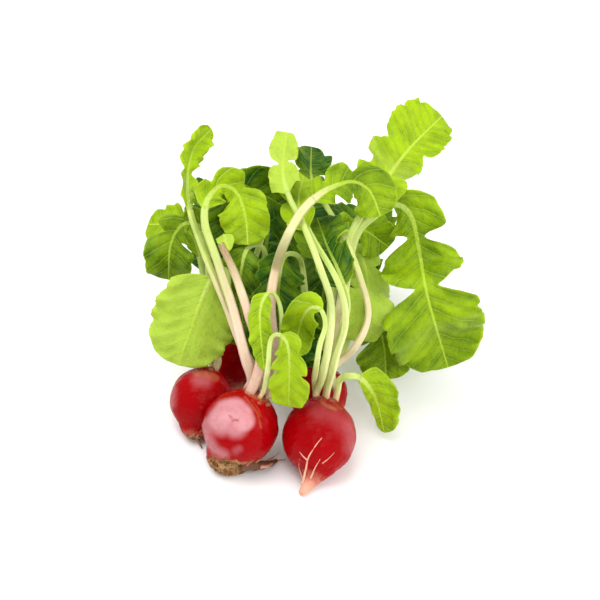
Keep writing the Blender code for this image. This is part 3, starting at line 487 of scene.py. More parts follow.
def lay_down(near, points, half_thick):
    """Marks a piece in the grid."""
    i, j, far = cells(denser(points).reshape(-1, 3))
    far = far - denser(half_thick[..., None]).reshape(-1)
    np.minimum.at(near, (i, j), far)


def needed_shift(near, points, half_thick):
    """How far each row of points has to come towards the eye to lie in front of what is laid."""
    fine = denser(points)
    i, j, far = cells(fine.reshape(-1, 3))
    behind = np.full(len(i), np.inf)
    for di in (-1, 0, 1):
        for dj in (-1, 0, 1):
            behind = np.minimum(behind, near[i + di, j + dj])
    thick = denser(half_thick[..., None]).reshape(-1)
    short = np.clip(far + thick + CLEAR - behind, 0, None).reshape(fine.shape[:2]).max(axis=1)
    return np.array([short[max(k - FINER, 0):k + FINER + 1].max() for k in range(0, len(short), FINER)])


def shifted(line, share, length, where, shift, spread):
    """The rib's line with each place brought towards the eye, nothing at the foot and smoothly along it."""
    free = np.clip((share * length - FREE_FROM) * FREE_RISE, 0, None)
    need = np.interp(share, where, shift)
    need = np.minimum(need, free)
    reach = max(int(len(share) * spread / length), 1)
    wide = np.array([need[max(k - reach, 0):k + reach + 1].max() for k in range(len(need))])
    wide = np.minimum(wide, free)
    kernel = np.hanning(2 * reach + 3)[1:-1]
    padded = np.pad(wide, reach, mode="edge")
    soft = np.convolve(padded, kernel / kernel.sum(), mode="valid")[:len(share)]
    ray = line - EYE
    return line - ray * (soft / (ray @ AWAY))[:, None]


def lay_leaves():
    """Each leaf's rib line after it is laid over those behind it."""
    leaves = table_distance()
    roots = {}
    for root in ROOTS:
        rings = RESTED[root][4]
        roots[root] = np.full_like(leaves, np.inf)
        closed = np.concatenate([rings, rings[:, :1]], 1)
        lay_down(roots[root], closed, np.zeros(closed.shape[:2]))
    feet = {name: place for root in ROOTS for name, place in crown_feet(root).items()}
    fine = np.linspace(0, 1, 60)
    behind, placed = ["back", "left", "middle"], {}
    for name, item in LEAVES.items():
        own = item["root"]
        if own not in behind:
            behind.append(own)
        near = np.minimum.reduce([leaves] + [roots[r] for r in behind if r != own])
        line, share, length = smooth_path(np.array(feet[name] + [laid(*p) for p in item["path"]]))
        for _ in range(3):
            rng = random.Random(SEED + name)
            surface, _, thick, _ = leaf_surface(item, line, share, length, fine, ACROSS, rng)
            shift = needed_shift(near, surface, thick)
            own_shift = needed_shift(roots[own], surface, thick)
            shift = np.maximum(shift, np.where(fine * length > OWN_ROOT_FROM, own_shift, 0))
            stalk = np.full_like(leaves, np.inf)
            part = fine < item["blade"] - 0.06
            lay_down(stalk, surface[part], thick[part])
            own_shift = needed_shift(stalk, surface, thick)
            shift = np.maximum(shift, np.where(fine > item["blade"] + 0.06, own_shift, 0))
            line = shifted(line, share, length, fine, shift, SHIFT_REACH)
        rng = random.Random(SEED + name)
        surface, _, thick, _ = leaf_surface(item, line, share, length, fine, ACROSS, rng)
        lay_down(leaves, surface, thick)
        placed[name] = (line, share, length)
    return placed


def apart(points, others, room):
    """How each point moves to stand `room` clear of the nearest of the others."""
    gap = points[:, None] - others[None]
    far = np.linalg.norm(gap, axis=2)
    short = room - far
    k = np.argmax(short, axis=1)
    rows = np.arange(len(points))
    push = np.clip(short[rows, k], 0, None)
    return gap[rows, k] * (push / np.maximum(far[rows, k], 1e-6))[:, None]


def off_root(points, radius, root):
    """How each point moves to stand clear of the root's skin."""
    centre, size, axis, outline, _ = RESTED[root]
    from_centre = points - centre
    down = -(from_centre @ axis) / size
    out = from_centre + (down * size)[:, None] * axis
    far = np.linalg.norm(out, axis=1)
    skin_at = np.interp(down, [z for z, _ in outline], [r for _, r in outline]) * size
    need = np.where((down > outline[0][0]) & (down < 1.2), skin_at + radius + 1.5 * STALK_ROOM - far, 0)
    return out * (np.clip(need, 0, None) / np.maximum(far, 1e-6))[:, None]


def near_points(here, others, reach):
    """Those of the others that lie within reach of one of these points."""
    if not len(others):
        return others
    inside = np.all((others > here.min(axis=0) - reach) & (others < here.max(axis=0) + reach), axis=1)
    others = others[inside]
    far = np.linalg.norm(others[:, None] - here[None, ::4], axis=2).min(axis=1, initial=np.inf)
    return others[far < reach]


def loose_part(item, share, length):
    """How freely each place of a leaf's rib moves: only between the crown and the blade."""
    run = share * length
    free = np.clip((run - FOOT_HELD) / HELD_EASE, 0, 1)
    if item["blade"] < 1:
        free *= np.clip((item["blade"] * length - TOP_HELD - run) / HELD_EASE, 0, 1)
    return free


def blade_cloud(name, line, share, length):
    """Points all over a leaf's blade."""
    item = LEAVES[name]
    if item["blade"] == 1:
        return np.empty((0, 3))
    fine = np.linspace(item["blade"] + 0.02, 1, 50)
    grid = leaf_surface(item, line, share, length, fine, ACROSS, random.Random(SEED + name))[0]
    return denser(grid, 2).reshape(-1, 3)


def spread_stalks(placed):
    """Bends each stalk, between the crown and the blade, clear of the roots, other stalks and blades."""
    lines = {name: line.copy() for name, (line, _, _) in placed.items()}
    radii = {name: stalk_radius(LEAVES[name], share, length) for name, (_, share, length) in placed.items()}
    weight = {name: loose_part(LEAVES[name], share, length) for name, (_, share, length) in placed.items()}
    clouds = {name: blade_cloud(name, *placed[name]) for name in lines}
    stems = {name: int(LEAVES[name]["blade"] * (len(lines[name]) - 1)) + 1 for name in lines}
    moved = {name: np.zeros_like(line) for name, line in lines.items()}
    near = {}
    for count in range(SPREAD_PASSES):
        now = {name: lines[name] + moved[name] for name in lines}
        for name in lines:
            loose = weight[name] > 0
            here, room = now[name][loose], radii[name][loose]
            if count % NEAR_EVERY == 0:
                around = [near_points(here, clouds[other], NEAR_REACH) for other in lines if other != name]
                near[name] = [cloud for cloud in around if len(cloud)]
            push = sum(off_root(here, room, root) for root in ROOTS)
            low, high = here.min(axis=0) - STEM_REACH, here.max(axis=0) + STEM_REACH
            for other in lines:
                stem = now[other][:stems[other]]
                close = np.all((stem > low) & (stem < high), axis=1)
                if other != name and close.any():
                    both = room[:, None] + radii[other][:len(stem)][close][None] + STALK_ROOM
                    push += 0.5 * apart(here, stem[close], both)
            for cloud in near[name]:
                push += apart(here, cloud, room[:, None] + BLADE_THICK / 2 + STALK_ROOM)
            moved[name][loose] += PUSH_SHARE * push
            for _ in range(3):
                before, after = moved[name][:-2], moved[name][2:]
                moved[name][1:-1] = 0.25 * before + 0.5 * moved[name][1:-1] + 0.25 * after
            moved[name] *= (weight[name] > 0)[:, None]
    return {name: (lines[name] + moved[name] * np.minimum(weight[name] * 3, 1)[:, None], *placed[name][1:])
            for name in lines}


RESTED = {name: rested_root(name) for name in ROOTS}
LEAF_STEP = 1.1  # between a fine blade's rows
LEAF_COLUMNS = 41
STALK_STEP = 1.6
STALK_POINTS = 28
ROOT_POINTS = 144
ROOT_ROWS = 150
VEIN_LEAN = 0.75  # how far a side vein runs along the leaf for each millimetre out from the rib
VEIN_CURVE = 0.010
TIP_CROWDING, RIB_CROWDING = 1.15, 1.5  # how much closer a fine blade's rows and columns are there
BLADE_LAP = 0.4  # how far a fine blade reaches back over its stalk's end
PUCKER_POWER, PUCKER_MIDDLE = 0.6, 0.55  # how full the puckers are, and their mean height
CROSS_SPACING, CROSS_SIZE = 4.2, 9.0  # between the small veins that cross a blade, and of how they wander
CROSS_WANDER, CROSS_SHARE = 0.35, 0.35  # how far they wander, and their puckers' height over the others'
SWELL, SWELL_SIZE = 0.9, 17.0  # of the broad swells all over a fine blade: height and size
RUFFLE_LENGTH = 9.5  # of the ruffles along its edge
OVER_RIB, UNDER_RIB = 0.45, 0.85  # how much of its rib stands out on each face
EDGE_BAND = 3.0  # how wide the pale rim is
EDGE_POWER, EDGE_SHARE = 8, 0.12  # how near its edge a blade thins, and half the edge over the whole
TOOTH_LEAN, TOOTH_ROUND = 1.15, 0.6  # how far the teeth lean to the tip, and how full they are
SMALL_TEETH, SMALL_DEPTH = 3, 0.30  # on each tooth, and their depth over its own
LEAFLET_RIB = 0.8
LEAFLET_START = 8.0  # its colours are those of a blade this far from its stalk
LEAFLET_FIRST = 40.0  # past the count of any leaf, so that its blotches are its own
STALK_RIBS = 7
CHANNEL_DEPTH, CHANNEL_WIDTH = 0.30, 0.42  # over the stalk's height, and in radians
SHEATH, SHEATH_LENGTH = 0.5, 7.0  # how much wider a stalk is at its foot, and how soon that is gone
FOOT_SUNK = 1.1  # into the crown
TORN_DEPTH, DRY_LENGTH = 1.6, 26.0  # of a snapped stalk's end
SKIN_ROUND, SKIN_DOWN = 20.0, 26.0  # the scale of a root's skin, round it and down it
LUMP_SIZE, SMALL_LUMP_SIZE = 17.0, 6.0
WRINKLE, WRINKLES = 0.16, 42  # how deep the wrinkles near a root's tip are, and how close
SHOULDERS, SHOULDER_DEPTH = 9, 0.35  # the swellings round a root's crown
CORK_ROUGH = 0.55
DENT_DEPTH = 0.35
OFF_FLOOR, THREAD_OFF_FLOOR = 0.02, 0.05
CROWN_ROWS, CROWN_POINTS = 14, 40
CROWN_SPREAD, CROWN_RISE, CROWN_SUNK = 1.04, 1.9, 0.6  # a crown's width over the root's, height and foot
STUB_ROWS, STUB_POINTS = 10, 18
STUB_SUNK, STUB_FLATTEN = 1.2, 0.55
THREAD_POINTS = 8
FAINT_PINK = 0.12  # of the stalks that PINK doesn't name

GREEN_FOOT = (0.66, 0.74, 0.28)
RIDGE_COLOUR, GROOVE_COLOUR = (0.86, 0.82, 0.60), (0.34, 0.24, 0.06)  # of the streaks along a stalk
DRY_COLOUR = (0.30, 0.17, 0.06)
FLECK_COLOUR, SCAR_COLOUR, TOP_COLOUR = (0.72, 0.16, 0.10), (0.42, 0.16, 0.06), (0.42, 0.12, 0.04)
LIGHT_CORK = (0.46, 0.27, 0.12)
RUST_COLOUR = (0.62, 0.24, 0.13)
TORN_COLOUR, TORN_DEEP, TORN_LIGHT = (0.36, 0.10, 0.035), (0.20, 0.010, 0.008), (0.60, 0.42, 0.22)

# How bright each leaf is, from -1 in the shade of the bunch to 1 where the light shines through.
TONE = {
    "back_first": -0.8, "back_second": -0.9, "back_third": -0.9, "back_right": -0.7, "left_flag": 0.4,
    "left_upper": -0.15, "dark_upper": -0.8, "dark_hanging": -0.4, "inner_left": -0.4, "inner_right": -0.8,
    "right_pale": 0.1, "right_low": -0.15, "right_mid": 0.1, "right_hanging": 0.05, "right_tall": 0.45,
    "dark_top": -0.6, "small_upper": -0.5, "curly_top": 0.5, "pale_top": 1.0, "arched": -0.05,
    "left_round": 0.25, "left_tall": 0.7, "left_crown": 0.5, "front_blade": 0.4, "front_pointed": 0.5,
    "front_small": 0.8, "front_right": 0.4,
}
# How pink each stalk is at its foot, and how far up it stays so.
PINK = {
    "snapped": 1.0, "arched": 0.8, "left_crown": 0.45, "left_tall": 0.4, "dark_top": 0.35, "right_tall": 0.3,
    "pale_top": 0.05, "curly_top": 0.05, "front_pointed": 0.0, "front_right": 0.05, "front_small": 0.0,
    "front_blade": 0.0,
}


def measure(name, what, default, low, high, precision=4):
    """A length that a user can change."""
    return FloatProperty(name=name, description=what, default=default, min=low, max=high, unit="LENGTH",
                         precision=precision)


class RadishSizes(bpy.types.PropertyGroup):
    """Sizes of the fine skins and leaves"""
    blade: measure("Blade thickness", "Thickness of a leaf between its veins", 0.0005, 0.0002, 0.001)
    pucker: measure("Pucker", "How far a leaf rises between its side veins", 0.0009, 0.0, 0.002)
    ruffle: measure("Ruffle", "How far a leaf's edge waves", 0.0014, 0.0, 0.003)
    veins: measure("Vein spacing", "Distance between side veins along the rib", 0.0068, 0.003, 0.02)
    lumps: measure("Root lumps", "How uneven a root's skin is", 0.00035, 0.0, 0.002, 5)
    rootlet: measure("Rootlet", "Radius of a rootlet where it leaves the root", 0.00045, 0.0001, 0.001, 5)


def colour(name, what, value):
    """A colour that a user can change."""
    return FloatVectorProperty(name=name, description=what, default=value, size=3, min=0.0, max=1.0,
                               subtype="COLOR")


class RadishColours(bpy.types.PropertyGroup):
    """Colours of the roots, stalks and leaves"""
    skin: colour("Skin", "The red of a root's skin", (0.34, 0.0006, 0.0024))
    skin_deep: colour("Deep skin", "The red in the skin's darker mottles", (0.15, 0.0, 0.001))
    # Also the pink of the painted highlights on the roots.
    skin_pale_and_highlight: colour("Pale skin", "The pink where the skin thins", (0.60, 0.29, 0.31))
    cork: colour("Cork", "The rough brown of a root's end", (0.13, 0.045, 0.012))
    rootlet: colour("Rootlet", "The pale tan of rootlets", (0.80, 0.42, 0.29))
    cream: colour("Stalk foot", "A stalk near the crown", (0.68, 0.54, 0.40))
    blush: colour("Stalk blush", "The pink that runs up a stalk", (0.64, 0.30, 0.22))
    stalk_green: colour("Stalk top", "A stalk near the leaf", (0.46, 0.58, 0.12))
    leaf_light: colour("Light leaf", "A leaf in the light", (0.30, 0.45, 0.002))
    leaf_dark: colour("Dark leaf", "A leaf in the shade", (0.010, 0.065, 0.001))
    leaf_under: colour("Leaf underside", "The paler underside of a leaf", (0.38, 0.52, 0.06))
    vein: colour("Vein", "The ribs and veins of a leaf", (0.42, 0.56, 0.05))


class RadishStage(bpy.types.PropertyGroup):
    """The floor and the lights"""
    floor: FloatProperty(name="Floor", description="How white the floor is", default=0.95, min=0.0, max=1.0,
                         subtype="FACTOR")
    key: FloatProperty(name="Key light", description="Power of the large light above and left", default=12.0,
                       min=0.0, max=500.0, unit="POWER")
    fill: FloatProperty(name="Surround", description="Strength of the light from all round", default=0.76,
                        min=0.0, max=5.0)


@lru_cache(maxsize=None)
def laid_lines():
    """Each leaf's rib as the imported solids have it."""
    return spread_stalks(lay_leaves())


@lru_cache(maxsize=None)
def row_shift():
    """From the millimetres that the bunch is laid out in to the row's own place, in metres."""
    high = np.array(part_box("root_front_right")[1])
    rings = RESTED["front_right"][4].reshape(-1, 3).max(axis=0) * MM
    return np.array([high[0] - rings[0], high[1] - rings[1], 0.0])


def skin_over(name, rings, finish, **values):
    """A closed smooth piece through rings of points in millimetres, with named values at each point."""
    count, around = rings.shape[:2]
    start = np.arange(count - 1)[:, None] * around
    here = np.arange(around)[None]
    ahead = (here + 1) % around
    quads = np.stack([start + here, start + ahead, start + around + ahead, start + around + here], -1)
    caps = [list(range(around))[::-1], list(range((count - 1) * around, count * around))]
    mesh = bpy.data.meshes.new(name)
    points = rings.reshape(-1, 3) * MM + row_shift()
    mesh.from_pydata(points.tolist(), [], quads.reshape(-1, 4).tolist() + caps)
    turned = np.cross(rings[:-1], np.roll(rings[:-1], -1, axis=1))
    volume = np.einsum("ijk,ijk->", turned, rings[1:] - rings[:-1])
    if volume < 0:
        mesh.flip_normals()
    for key, value in values.items():
        layer = mesh.attributes.new(key, "FLOAT", "POINT")
        layer.data.foreach_set("value", np.broadcast_to(value, (count, around)).astype(np.float32).ravel())
    mesh.materials.append(finish)
    mesh.shade_smooth()
    made = bpy.data.objects.new(name, mesh)
    bpy.context.scene.collection.objects.link(made)
    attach(made, "root")
    return made


def fine_tooth(place):
    """As coarse_tooth, with each tooth a rounded scallop that leans to the tip and has smaller ones on it."""
    step, tooth = np.floor(place), place % 1
    lean = TOOTH_LEAN + 0.25 * np.sin(step * 12.9898)
    scallop = np.sin(math.pi * tooth ** lean) ** TOOTH_ROUND
    small = np.abs(np.sin(math.pi * (place * SMALL_TEETH + 0.3 * np.sin(step * 4.1)))) ** TOOTH_ROUND
    return np.clip(1.12 - scallop - SMALL_DEPTH * (small - 0.5), -0.1, 1.2)


def both_faces(over, under):
    """A thin leaf's rings: each row over it from edge to edge, and back under it."""
    return np.concatenate([over, under[:, ::-1]], axis=1)


def rib_and_edge(y, radius, edge):
    """How near each point is to the rib and to the edge, from its distance to the rib."""
    rib, rim = np.clip(1.25 - y / radius, 0, 1), np.clip((edge - y) / EDGE_BAND, 0, 1)
    return {"rib": both_faces(rib, rib), "edge": both_faces(rim, rim)}


def blade_skin(name, finish, sizes):
    """The fine blade in place of a plain one: puckered between its veins, ruffled and toothed at its edge."""
    item = LEAVES[name]
    line, share, length = laid_lines()[name]
    grown = (1 - item["blade"]) * length
    rows = int(grown / LEAF_STEP) + 10
    t = np.linspace(0, 1, rows)
    t = 1 - (1 - t) ** TIP_CROWDING
    where = item["blade"] + (1 - item["blade"]) * t - BLADE_LAP * (1 - t) / length
    u = np.linspace(-1, 1, LEAF_COLUMNS)
    across = np.sign(u) * np.abs(u) ** RIB_CROWDING
    surface, face, thick, out = leaf_surface(item, line, share, length, where, across,
                                             random.Random(SEED + name), fine_tooth)
    reach = np.abs(out[:, [0, -1]])
    side = (across > 0).astype(int)
    edge = np.maximum(reach[:, side], 0.5)
    y, v = np.abs(out), np.abs(across)[None]
    rng = random.Random(SEED + "skin" + name)
    run = (t * grown)[:, None]
    spacing = sizes.veins / MM
    vein = ((run - VEIN_LEAN * y + VEIN_CURVE * y * y) / spacing + 0.5 * side) % 1
    between = 2 * np.minimum(vein, 1 - vein)
    cross = (y / CROSS_SPACING + CROSS_WANDER * ripple(rng, run, out, CROSS_SIZE)) % 1
    between_cross = 2 * np.minimum(cross, 1 - cross)
    inside = np.clip((y - 1.0) / 4, 0, 1) * np.clip((edge - y) / 2.5, 0, 1)
    pucker = (between ** PUCKER_POWER - PUCKER_MIDDLE
              + CROSS_SHARE * (between_cross ** PUCKER_POWER - PUCKER_MIDDLE))
    swell = ripple(rng, run, out, SWELL_SIZE)
    phase = rng.uniform(0, 2 * math.pi)
    ruffle = v ** 3 * np.sin(2 * math.pi * run / RUFFLE_LENGTH + 1.6 * swell + phase + 2.0 * side)
    room = np.clip(edge / 7, 0.15, 1)
    lift = (sizes.pucker * inside * pucker + sizes.ruffle * room * ruffle + SWELL * MM * inside * swell) / MM
    lift = lift * np.clip(run / 6, 0, 1)
    surface = surface + face[:, None] * lift[..., None]
    rib = thick - BLADE_THICK / 2
    body = sizes.blade / MM * (0.5 * (1 - v ** EDGE_POWER) + EDGE_SHARE)
    rings = both_faces(surface + face[:, None] * (body + OVER_RIB * rib)[..., None],
                       surface - face[:, None] * (body + UNDER_RIB * rib)[..., None])
    radius = stalk_radius(item, where, length)[:, None]
    return skin_over("leaf_" + name, rings, finish, run=run, out=both_faces(out, out),
                     **rib_and_edge(y, radius, edge), tone=TONE[name], pink=PINK.get(name, FAINT_PINK),
                     under=np.repeat([0.0, 1.0], LEAF_COLUMNS)[None], leaf=float(list(LEAVES).index(name)))


# name: course as (across, up, height), half the width, tone, whether its underside shows
LEAFLETS = {
    "round": (((-46.8, 98, 85), (-45.8, 94.5, 85), (-44.6, 90, 84)), 4.2, 0.6, True),
    "shaded": (((2, 40, 36), (1, 55, 40.5), (2, 68, 45), (3, 78, 49)), 8.5, -0.8, False),
    "low": (((-10, 36.5, 34), (-4, 37, 36), (3, 38, 37), (8, 40, 38)), 4.0, -0.9, False),
}


def leaflet(name, finish):
    """A small plain leaf in the open between the stalks."""
    course, half, tone, turned = LEAFLETS[name]
    line, share, length = smooth_path(np.array([laid(*place_at) for place_at in course]))
    t = np.linspace(0, 1, 40)
    rib = along(line, share, t)
    forward = unit(np.gradient(rib, axis=0))
    face = unit(across_part(unit(EYE - rib), forward))
    lateral = np.cross(forward, face)
    v = np.linspace(-1, 1, LEAF_COLUMNS)[None]
    rng = random.Random(SEED + "leaflet" + name)
    width = half * (np.sin(math.pi * t**0.8) ** 0.7)[:, None] * (1 - 0.07 * fine_tooth(t * 7)[:, None]) + 0.3
    out, run = v * width, (t * length)[:, None]
    lift = 0.12 * np.abs(out) + 0.9 * ripple(rng, run, out, 11.0) * np.abs(v) + 0.5 * v**2 * np.sin(run / 1.9)
    surface = rib[:, None] + lateral[:, None] * out[..., None] + face[:, None] * lift[..., None]
    half_thick = (0.22 * (1 - v**8) + 0.05 + 0.5 * np.clip(1 - np.abs(out) / LEAFLET_RIB, 0, 1))[..., None]
    rings = both_faces(surface + face[:, None] * half_thick, surface - face[:, None] * half_thick)
    return skin_over("leaflet_" + name, rings, finish, run=run + LEAFLET_START, out=both_faces(out, out),
                     **rib_and_edge(np.abs(out), LEAFLET_RIB, width), tone=tone, leaf=LEAFLET_FIRST + half,
                     under=float(turned))


def stalk_skin(name, finish):
    """The fine stalk: ribbed lengthwise, with a channel along the side that its leaf faces."""
    item = LEAVES[name]
    line, share, length = laid_lines()[name]
    end = item["blade"]
    rows = int(end * length / STALK_STEP) + 4
    where = np.linspace(0, end, rows)
    centre, forward, lateral, face, _ = facing(item, line, share, where)
    radius = stalk_radius(item, where, length)
    rng = random.Random(SEED + "stalk" + name)
    angle = turns(STALK_POINTS)
    run = (where * length)[:, None]
    around = 1 + 0.05 * np.cos(STALK_RIBS * angle + 1.3) + 0.03 * ripple(rng, run, 3 * np.cos(angle), 11.0)
    from_middle = np.abs(angle - math.pi / 2) / CHANNEL_WIDTH
    channel = CHANNEL_DEPTH * np.exp(-(from_middle ** 2)) * np.clip(run / 12 - 0.3, 0, 1)
    sheath = 1 + SHEATH * np.exp(-run / SHEATH_LENGTH)
    size = radius[:, None] * around * sheath
    x = np.cos(angle) * size
    y = np.sin(angle) * size * STALK_FLATTEN * (1 - channel)
    rings = centre[:, None] + lateral[:, None] * x[..., None] + face[:, None] * y[..., None]
    rings[0] -= forward[0] * FOOT_SUNK
    if end == 1.0:
        torn = ripple(rng, 3 * np.cos(angle[0]), 3 * np.sin(angle[0]), 2.5)
        rings[-1] += forward[-1] * (TORN_DEPTH * torn)[:, None]
    dry = np.clip((run - length + DRY_LENGTH) / 20, 0, 1) if end == 1.0 else 0.0
    return skin_over("stem_" + name, rings, finish, run=run, turn=angle, up=where[:, None] / max(end, 0.01),
                     pink=PINK.get(name, FAINT_PINK), dry=dry)


def smooth_outline(outline):
    """The root's outline as a smooth curve from the middle of the crown to the tip."""
    points = [(outline[0][0] - 0.05, 0.0), (outline[0][0] - 0.03, outline[0][1] * 0.6), *outline]
    flat = np.array([(z, r, 0.0) for z, r in points])
    line, _, _ = smooth_path(flat * 40, passes=3)
    share = np.linspace(0, 1, ROOT_ROWS)
    line = along(line, np.linspace(0, 1, len(line)), share) / 40
    return line[:, 0], np.clip(line[:, 1], 0.004, None)


# How far down a root its cork starts, over its radius, and how much of that is straight down as it is seen.
CORK = {"left": 1.06, "front_left": 0.76}
CORK_LEAN = 0.6

# root, the course of a pale place as seen from in front, its reach, how soft its edge is, and how pale it is.
# Most are painted highlights and painted rim light; the large one on front_left is partly painted highlight
# and partly the skin's own paler pink.
PALE_AND_HIGHLIGHT_PLACES = (
    ("front_left", ((-49, 8), (-46, 12), (-41, 13), (-38, 10), (-37, 7)), 3.8, 2.8, 0.80),
    ("front_left", ((-48, 5), (-44, 6), (-41, 4)), 2.6, 5.5, 0.7),
    ("front_left", ((-55.5, 6), (-55, -1), (-51.5, -7.5), (-47, -10)), 0.3, 4.2, 0.5),
    ("front_left", ((-39.5, -7), (-41, -8)), 0.2, 3.0, 0.22),
    ("front_right", ((0, 12), (7, 10), (12, 6)), 0.3, 8.0, 0.13),
    ("front_right", ((16.5, 3), (16, -6)), 0.2, 7.0, 0.2),
    ("left", ((-59, 27.5), (-56, 26.5)), 0.3, 6.0, 0.26),
    ("left", ((-72, 22), (-72.5, 15)), 0.2, 3.5, 0.25),
)
DENTS = (
    ("front_left", ((-44.0, 9.2), (-43.2, 8.2)), 0.1, 0.9, 0.7),
    ("front_left", ((-42.4, 6.8), (-41.2, 7.4), (-40.0, 6.9)), 0.1, 0.9, 0.8),
)
SCARS = (
    ("front_left", ((-36.5, 18.5), (-33.2, 14.5), (-30.4, 10.6), (-29.3, 6.5), (-28.6, 3.5)), 0.0, 0.8, 0.6),
    ("front_left", ((-33, 17), (-29.8, 12.4), (-28.6, 9)), 0.0, 0.7, 0.35),
    ("left", ((-60, 30.5), (-55, 30), (-51, 28)), 0.6, 2.4, 0.45),
    ("front_right", ((0, 17.5), (3, 14.5), (8, 12.5)), 0.2, 1.1, 0.8),
    ("front_right", ((4, 18.5), (8, 15.5), (11, 13)), 0.2, 1.1, 0.7),
)


def root_skin(name, finish, sizes):
    """The fine root: its globe a little uneven, its end wrinkled or corky, dented where it rests."""
    centre, radius, axis, outline, _ = RESTED[name]
    bend = np.array(ROOTS[name][4], float)
    z, r = smooth_outline(outline)
    down = z * radius
    past = np.clip(z - 0.8, 0, None)[:, None]
    line = centre - axis * down[:, None] + bend * past**2
    forward = unit(np.gradient(line, axis=0) + 1e-9)
    angle = turns(ROOT_POINTS)
    rng = random.Random(SEED + "root" + name)
    circle = circles(*square_to(forward), angle)
    x, y = SKIN_ROUND * np.cos(angle), SKIN_ROUND * np.sin(angle) + SKIN_DOWN * z[:, None]
    lump = ripple(rng, x, y, LUMP_SIZE) + 0.35 * ripple(rng, x, y, SMALL_LUMP_SIZE)
    low = np.clip((z[:, None] - 0.55) / 0.35, 0, 1)
    wrinkle = np.sin(z[:, None] * WRINKLES + 2.2 * ripple(rng, x, y, 8.0)) * low
    points = line[:, None] + circle * (r * radius)[:, None, None]
    fallen = (1 - CORK_LEAN) * z[:, None] + CORK_LEAN * ((centre - points) @ UPWARD) / radius
    cork = np.clip((fallen - CORK.get(name, 9.0) + 0.06 * ripple(rng, x, y, 9.0)) / 0.10, 0, 1)
    rough = ripple(rng, 2 * x, 2 * y, 4.5) + 0.7 * ripple(rng, 2 * x, 2 * y, 2.4)
    grown = r[:, None] * radius
    out = sizes.lumps / MM * lump * np.clip(grown / 8, 0, 1) + WRINKLE * wrinkle * np.clip(grown / 6, 0, 1)
    shoulder = np.exp(-(((z[:, None] + 0.93) / 0.10) ** 2)) * np.clip(grown / 5, 0, 1)
    out = out - shoulder * SHOULDER_DEPTH * (1 + np.cos(SHOULDERS * angle))
    out = out + CORK_ROUGH * cork * rough * np.clip(grown / 5, 0, 1)
    rings = line[:, None] + circle * (grown + out)[..., None]
    rings[..., 2] = np.maximum(rings[..., 2], OFF_FLOOR)
    dent = wear_and_highlight(name, DENTS, rings)
    rings = rings + AWAY * (DENT_DEPTH * dent)[..., None]
    # Painted highlight: the skin is painted pale at the listed places on its near side, less in dents and not
    # on cork.
    patch = wear_and_highlight(name, PALE_AND_HIGHLIGHT_PLACES, rings) * (1 - 0.8 * dent) * (1 - cork)
    return skin_over("skin_" + name, rings, finish, down=z[:, None], turn=angle, cork=cork, patch=patch,
                     scar=wear_and_highlight(name, SCARS, rings))


def wear_and_highlight(name, places, rings):
    """How strongly a root's skin is marked near each of these places on its near side, from 0 to 1: dents and
    scars, and the painted highlights of the pale places.
    """
    across, up, _ = seen(rings.reshape(-1, 3))
    total = np.zeros(len(across))
    for root, course, reach, ease, strength in places:
        if root == name:
            line = evenly(np.array([(*at, 0.0) for at in course]))[0]
            far = np.hypot(across[:, None] - line[:, 0], up[:, None] - line[:, 1]).min(axis=1)
            part = np.clip((reach + ease - far) / ease, 0, 1)
            total = 1 - (1 - total) * (1 - strength * part * part * (3 - 2 * part))
    return (total * seen_facing(rings).reshape(-1)).reshape(rings.shape[:2])


def seen_facing(rings):
    """1 where the skin faces the front of the bunch, 0 where it faces away."""
    middle = rings.mean(axis=(0, 1))
    return np.clip(((rings - middle) @ -AWAY) / 6, 0, 1)


def spot_on(root, across, up, lift=0.0):
    """The place on this root's skin that shows at (across, up) from in front."""
    points = bpy.data.objects["skin_" + root].data.vertices
    place = np.empty(len(points) * 3, np.float32)
    points.foreach_get("co", place)
    place = (place.reshape(-1, 3) - row_shift()) / MM
    seen_across, seen_up, far = seen(place)
    near = np.hypot(seen_across - across, seen_up - up) + 0.08 * (far - far.min())
    return place[near.argmin()] - AWAY * lift


def thread(name, points, thick, finish, tip=0.25, **values):
    """A thin tapering root or tendril through these points, in millimetres."""
    line, share, _ = smooth_path(np.array(points, float), passes=6)
    where = np.linspace(0, 1, max(int(len(line) / 1.0), 8))
    centre = along(line, share, where)
    forward = unit(np.gradient(centre, axis=0))
    first = unit(np.cross(forward, [0.13, 0.21, 0.97]))
    second = np.cross(forward, first)
    angle = turns(THREAD_POINTS)
    rng = random.Random(SEED + name)
    size = thick * (1 + (tip - 1) * where[:, None]) * (1 + 0.15 * ripple(rng, 9 * where[:, None], angle, 2.0))
    rings = centre[:, None] + circles(first, second, angle) * size[..., None]
    rings[..., 2] = np.maximum(rings[..., 2], THREAD_OFF_FLOOR)
    return skin_over(name, rings, finish, run=where[:, None] * 20, **values)


class Wire:
    """A value in a shader's tree, which takes + - * / as a number does, each as a Math node."""

    def __init__(self, socket):
        self.socket, self.tree = socket, socket.id_data

    def __add__(self, other):
        return calc("ADD", self, other)

    def __sub__(self, other):
        return calc("SUBTRACT", self, other)

    def __mul__(self, other):
        return calc("MULTIPLY", self, other)

    def __truediv__(self, other):
        return calc("DIVIDE", self, other)

    def __radd__(self, other):
        return calc("ADD", other, self)

    def __rsub__(self, other):
        return calc("SUBTRACT", other, self)


def finish_tree(name, **constants):
    """A new material, its tree and its shader, with these constants set on the shader."""
    made = bpy.data.materials.new(name)
    made.use_nodes = True
    shader = made.node_tree.nodes["Principled BSDF"]
    for key, value in constants.items():
        shader.inputs[key.replace("_", " ")].default_value = value
    return made, made.node_tree, shader


def node(tree, kind, **settings):
    """A new node of this kind with these settings."""
    made = tree.nodes.new("ShaderNode" + kind)
    for key, value in settings.items():
        setattr(made, key, value)
    return made


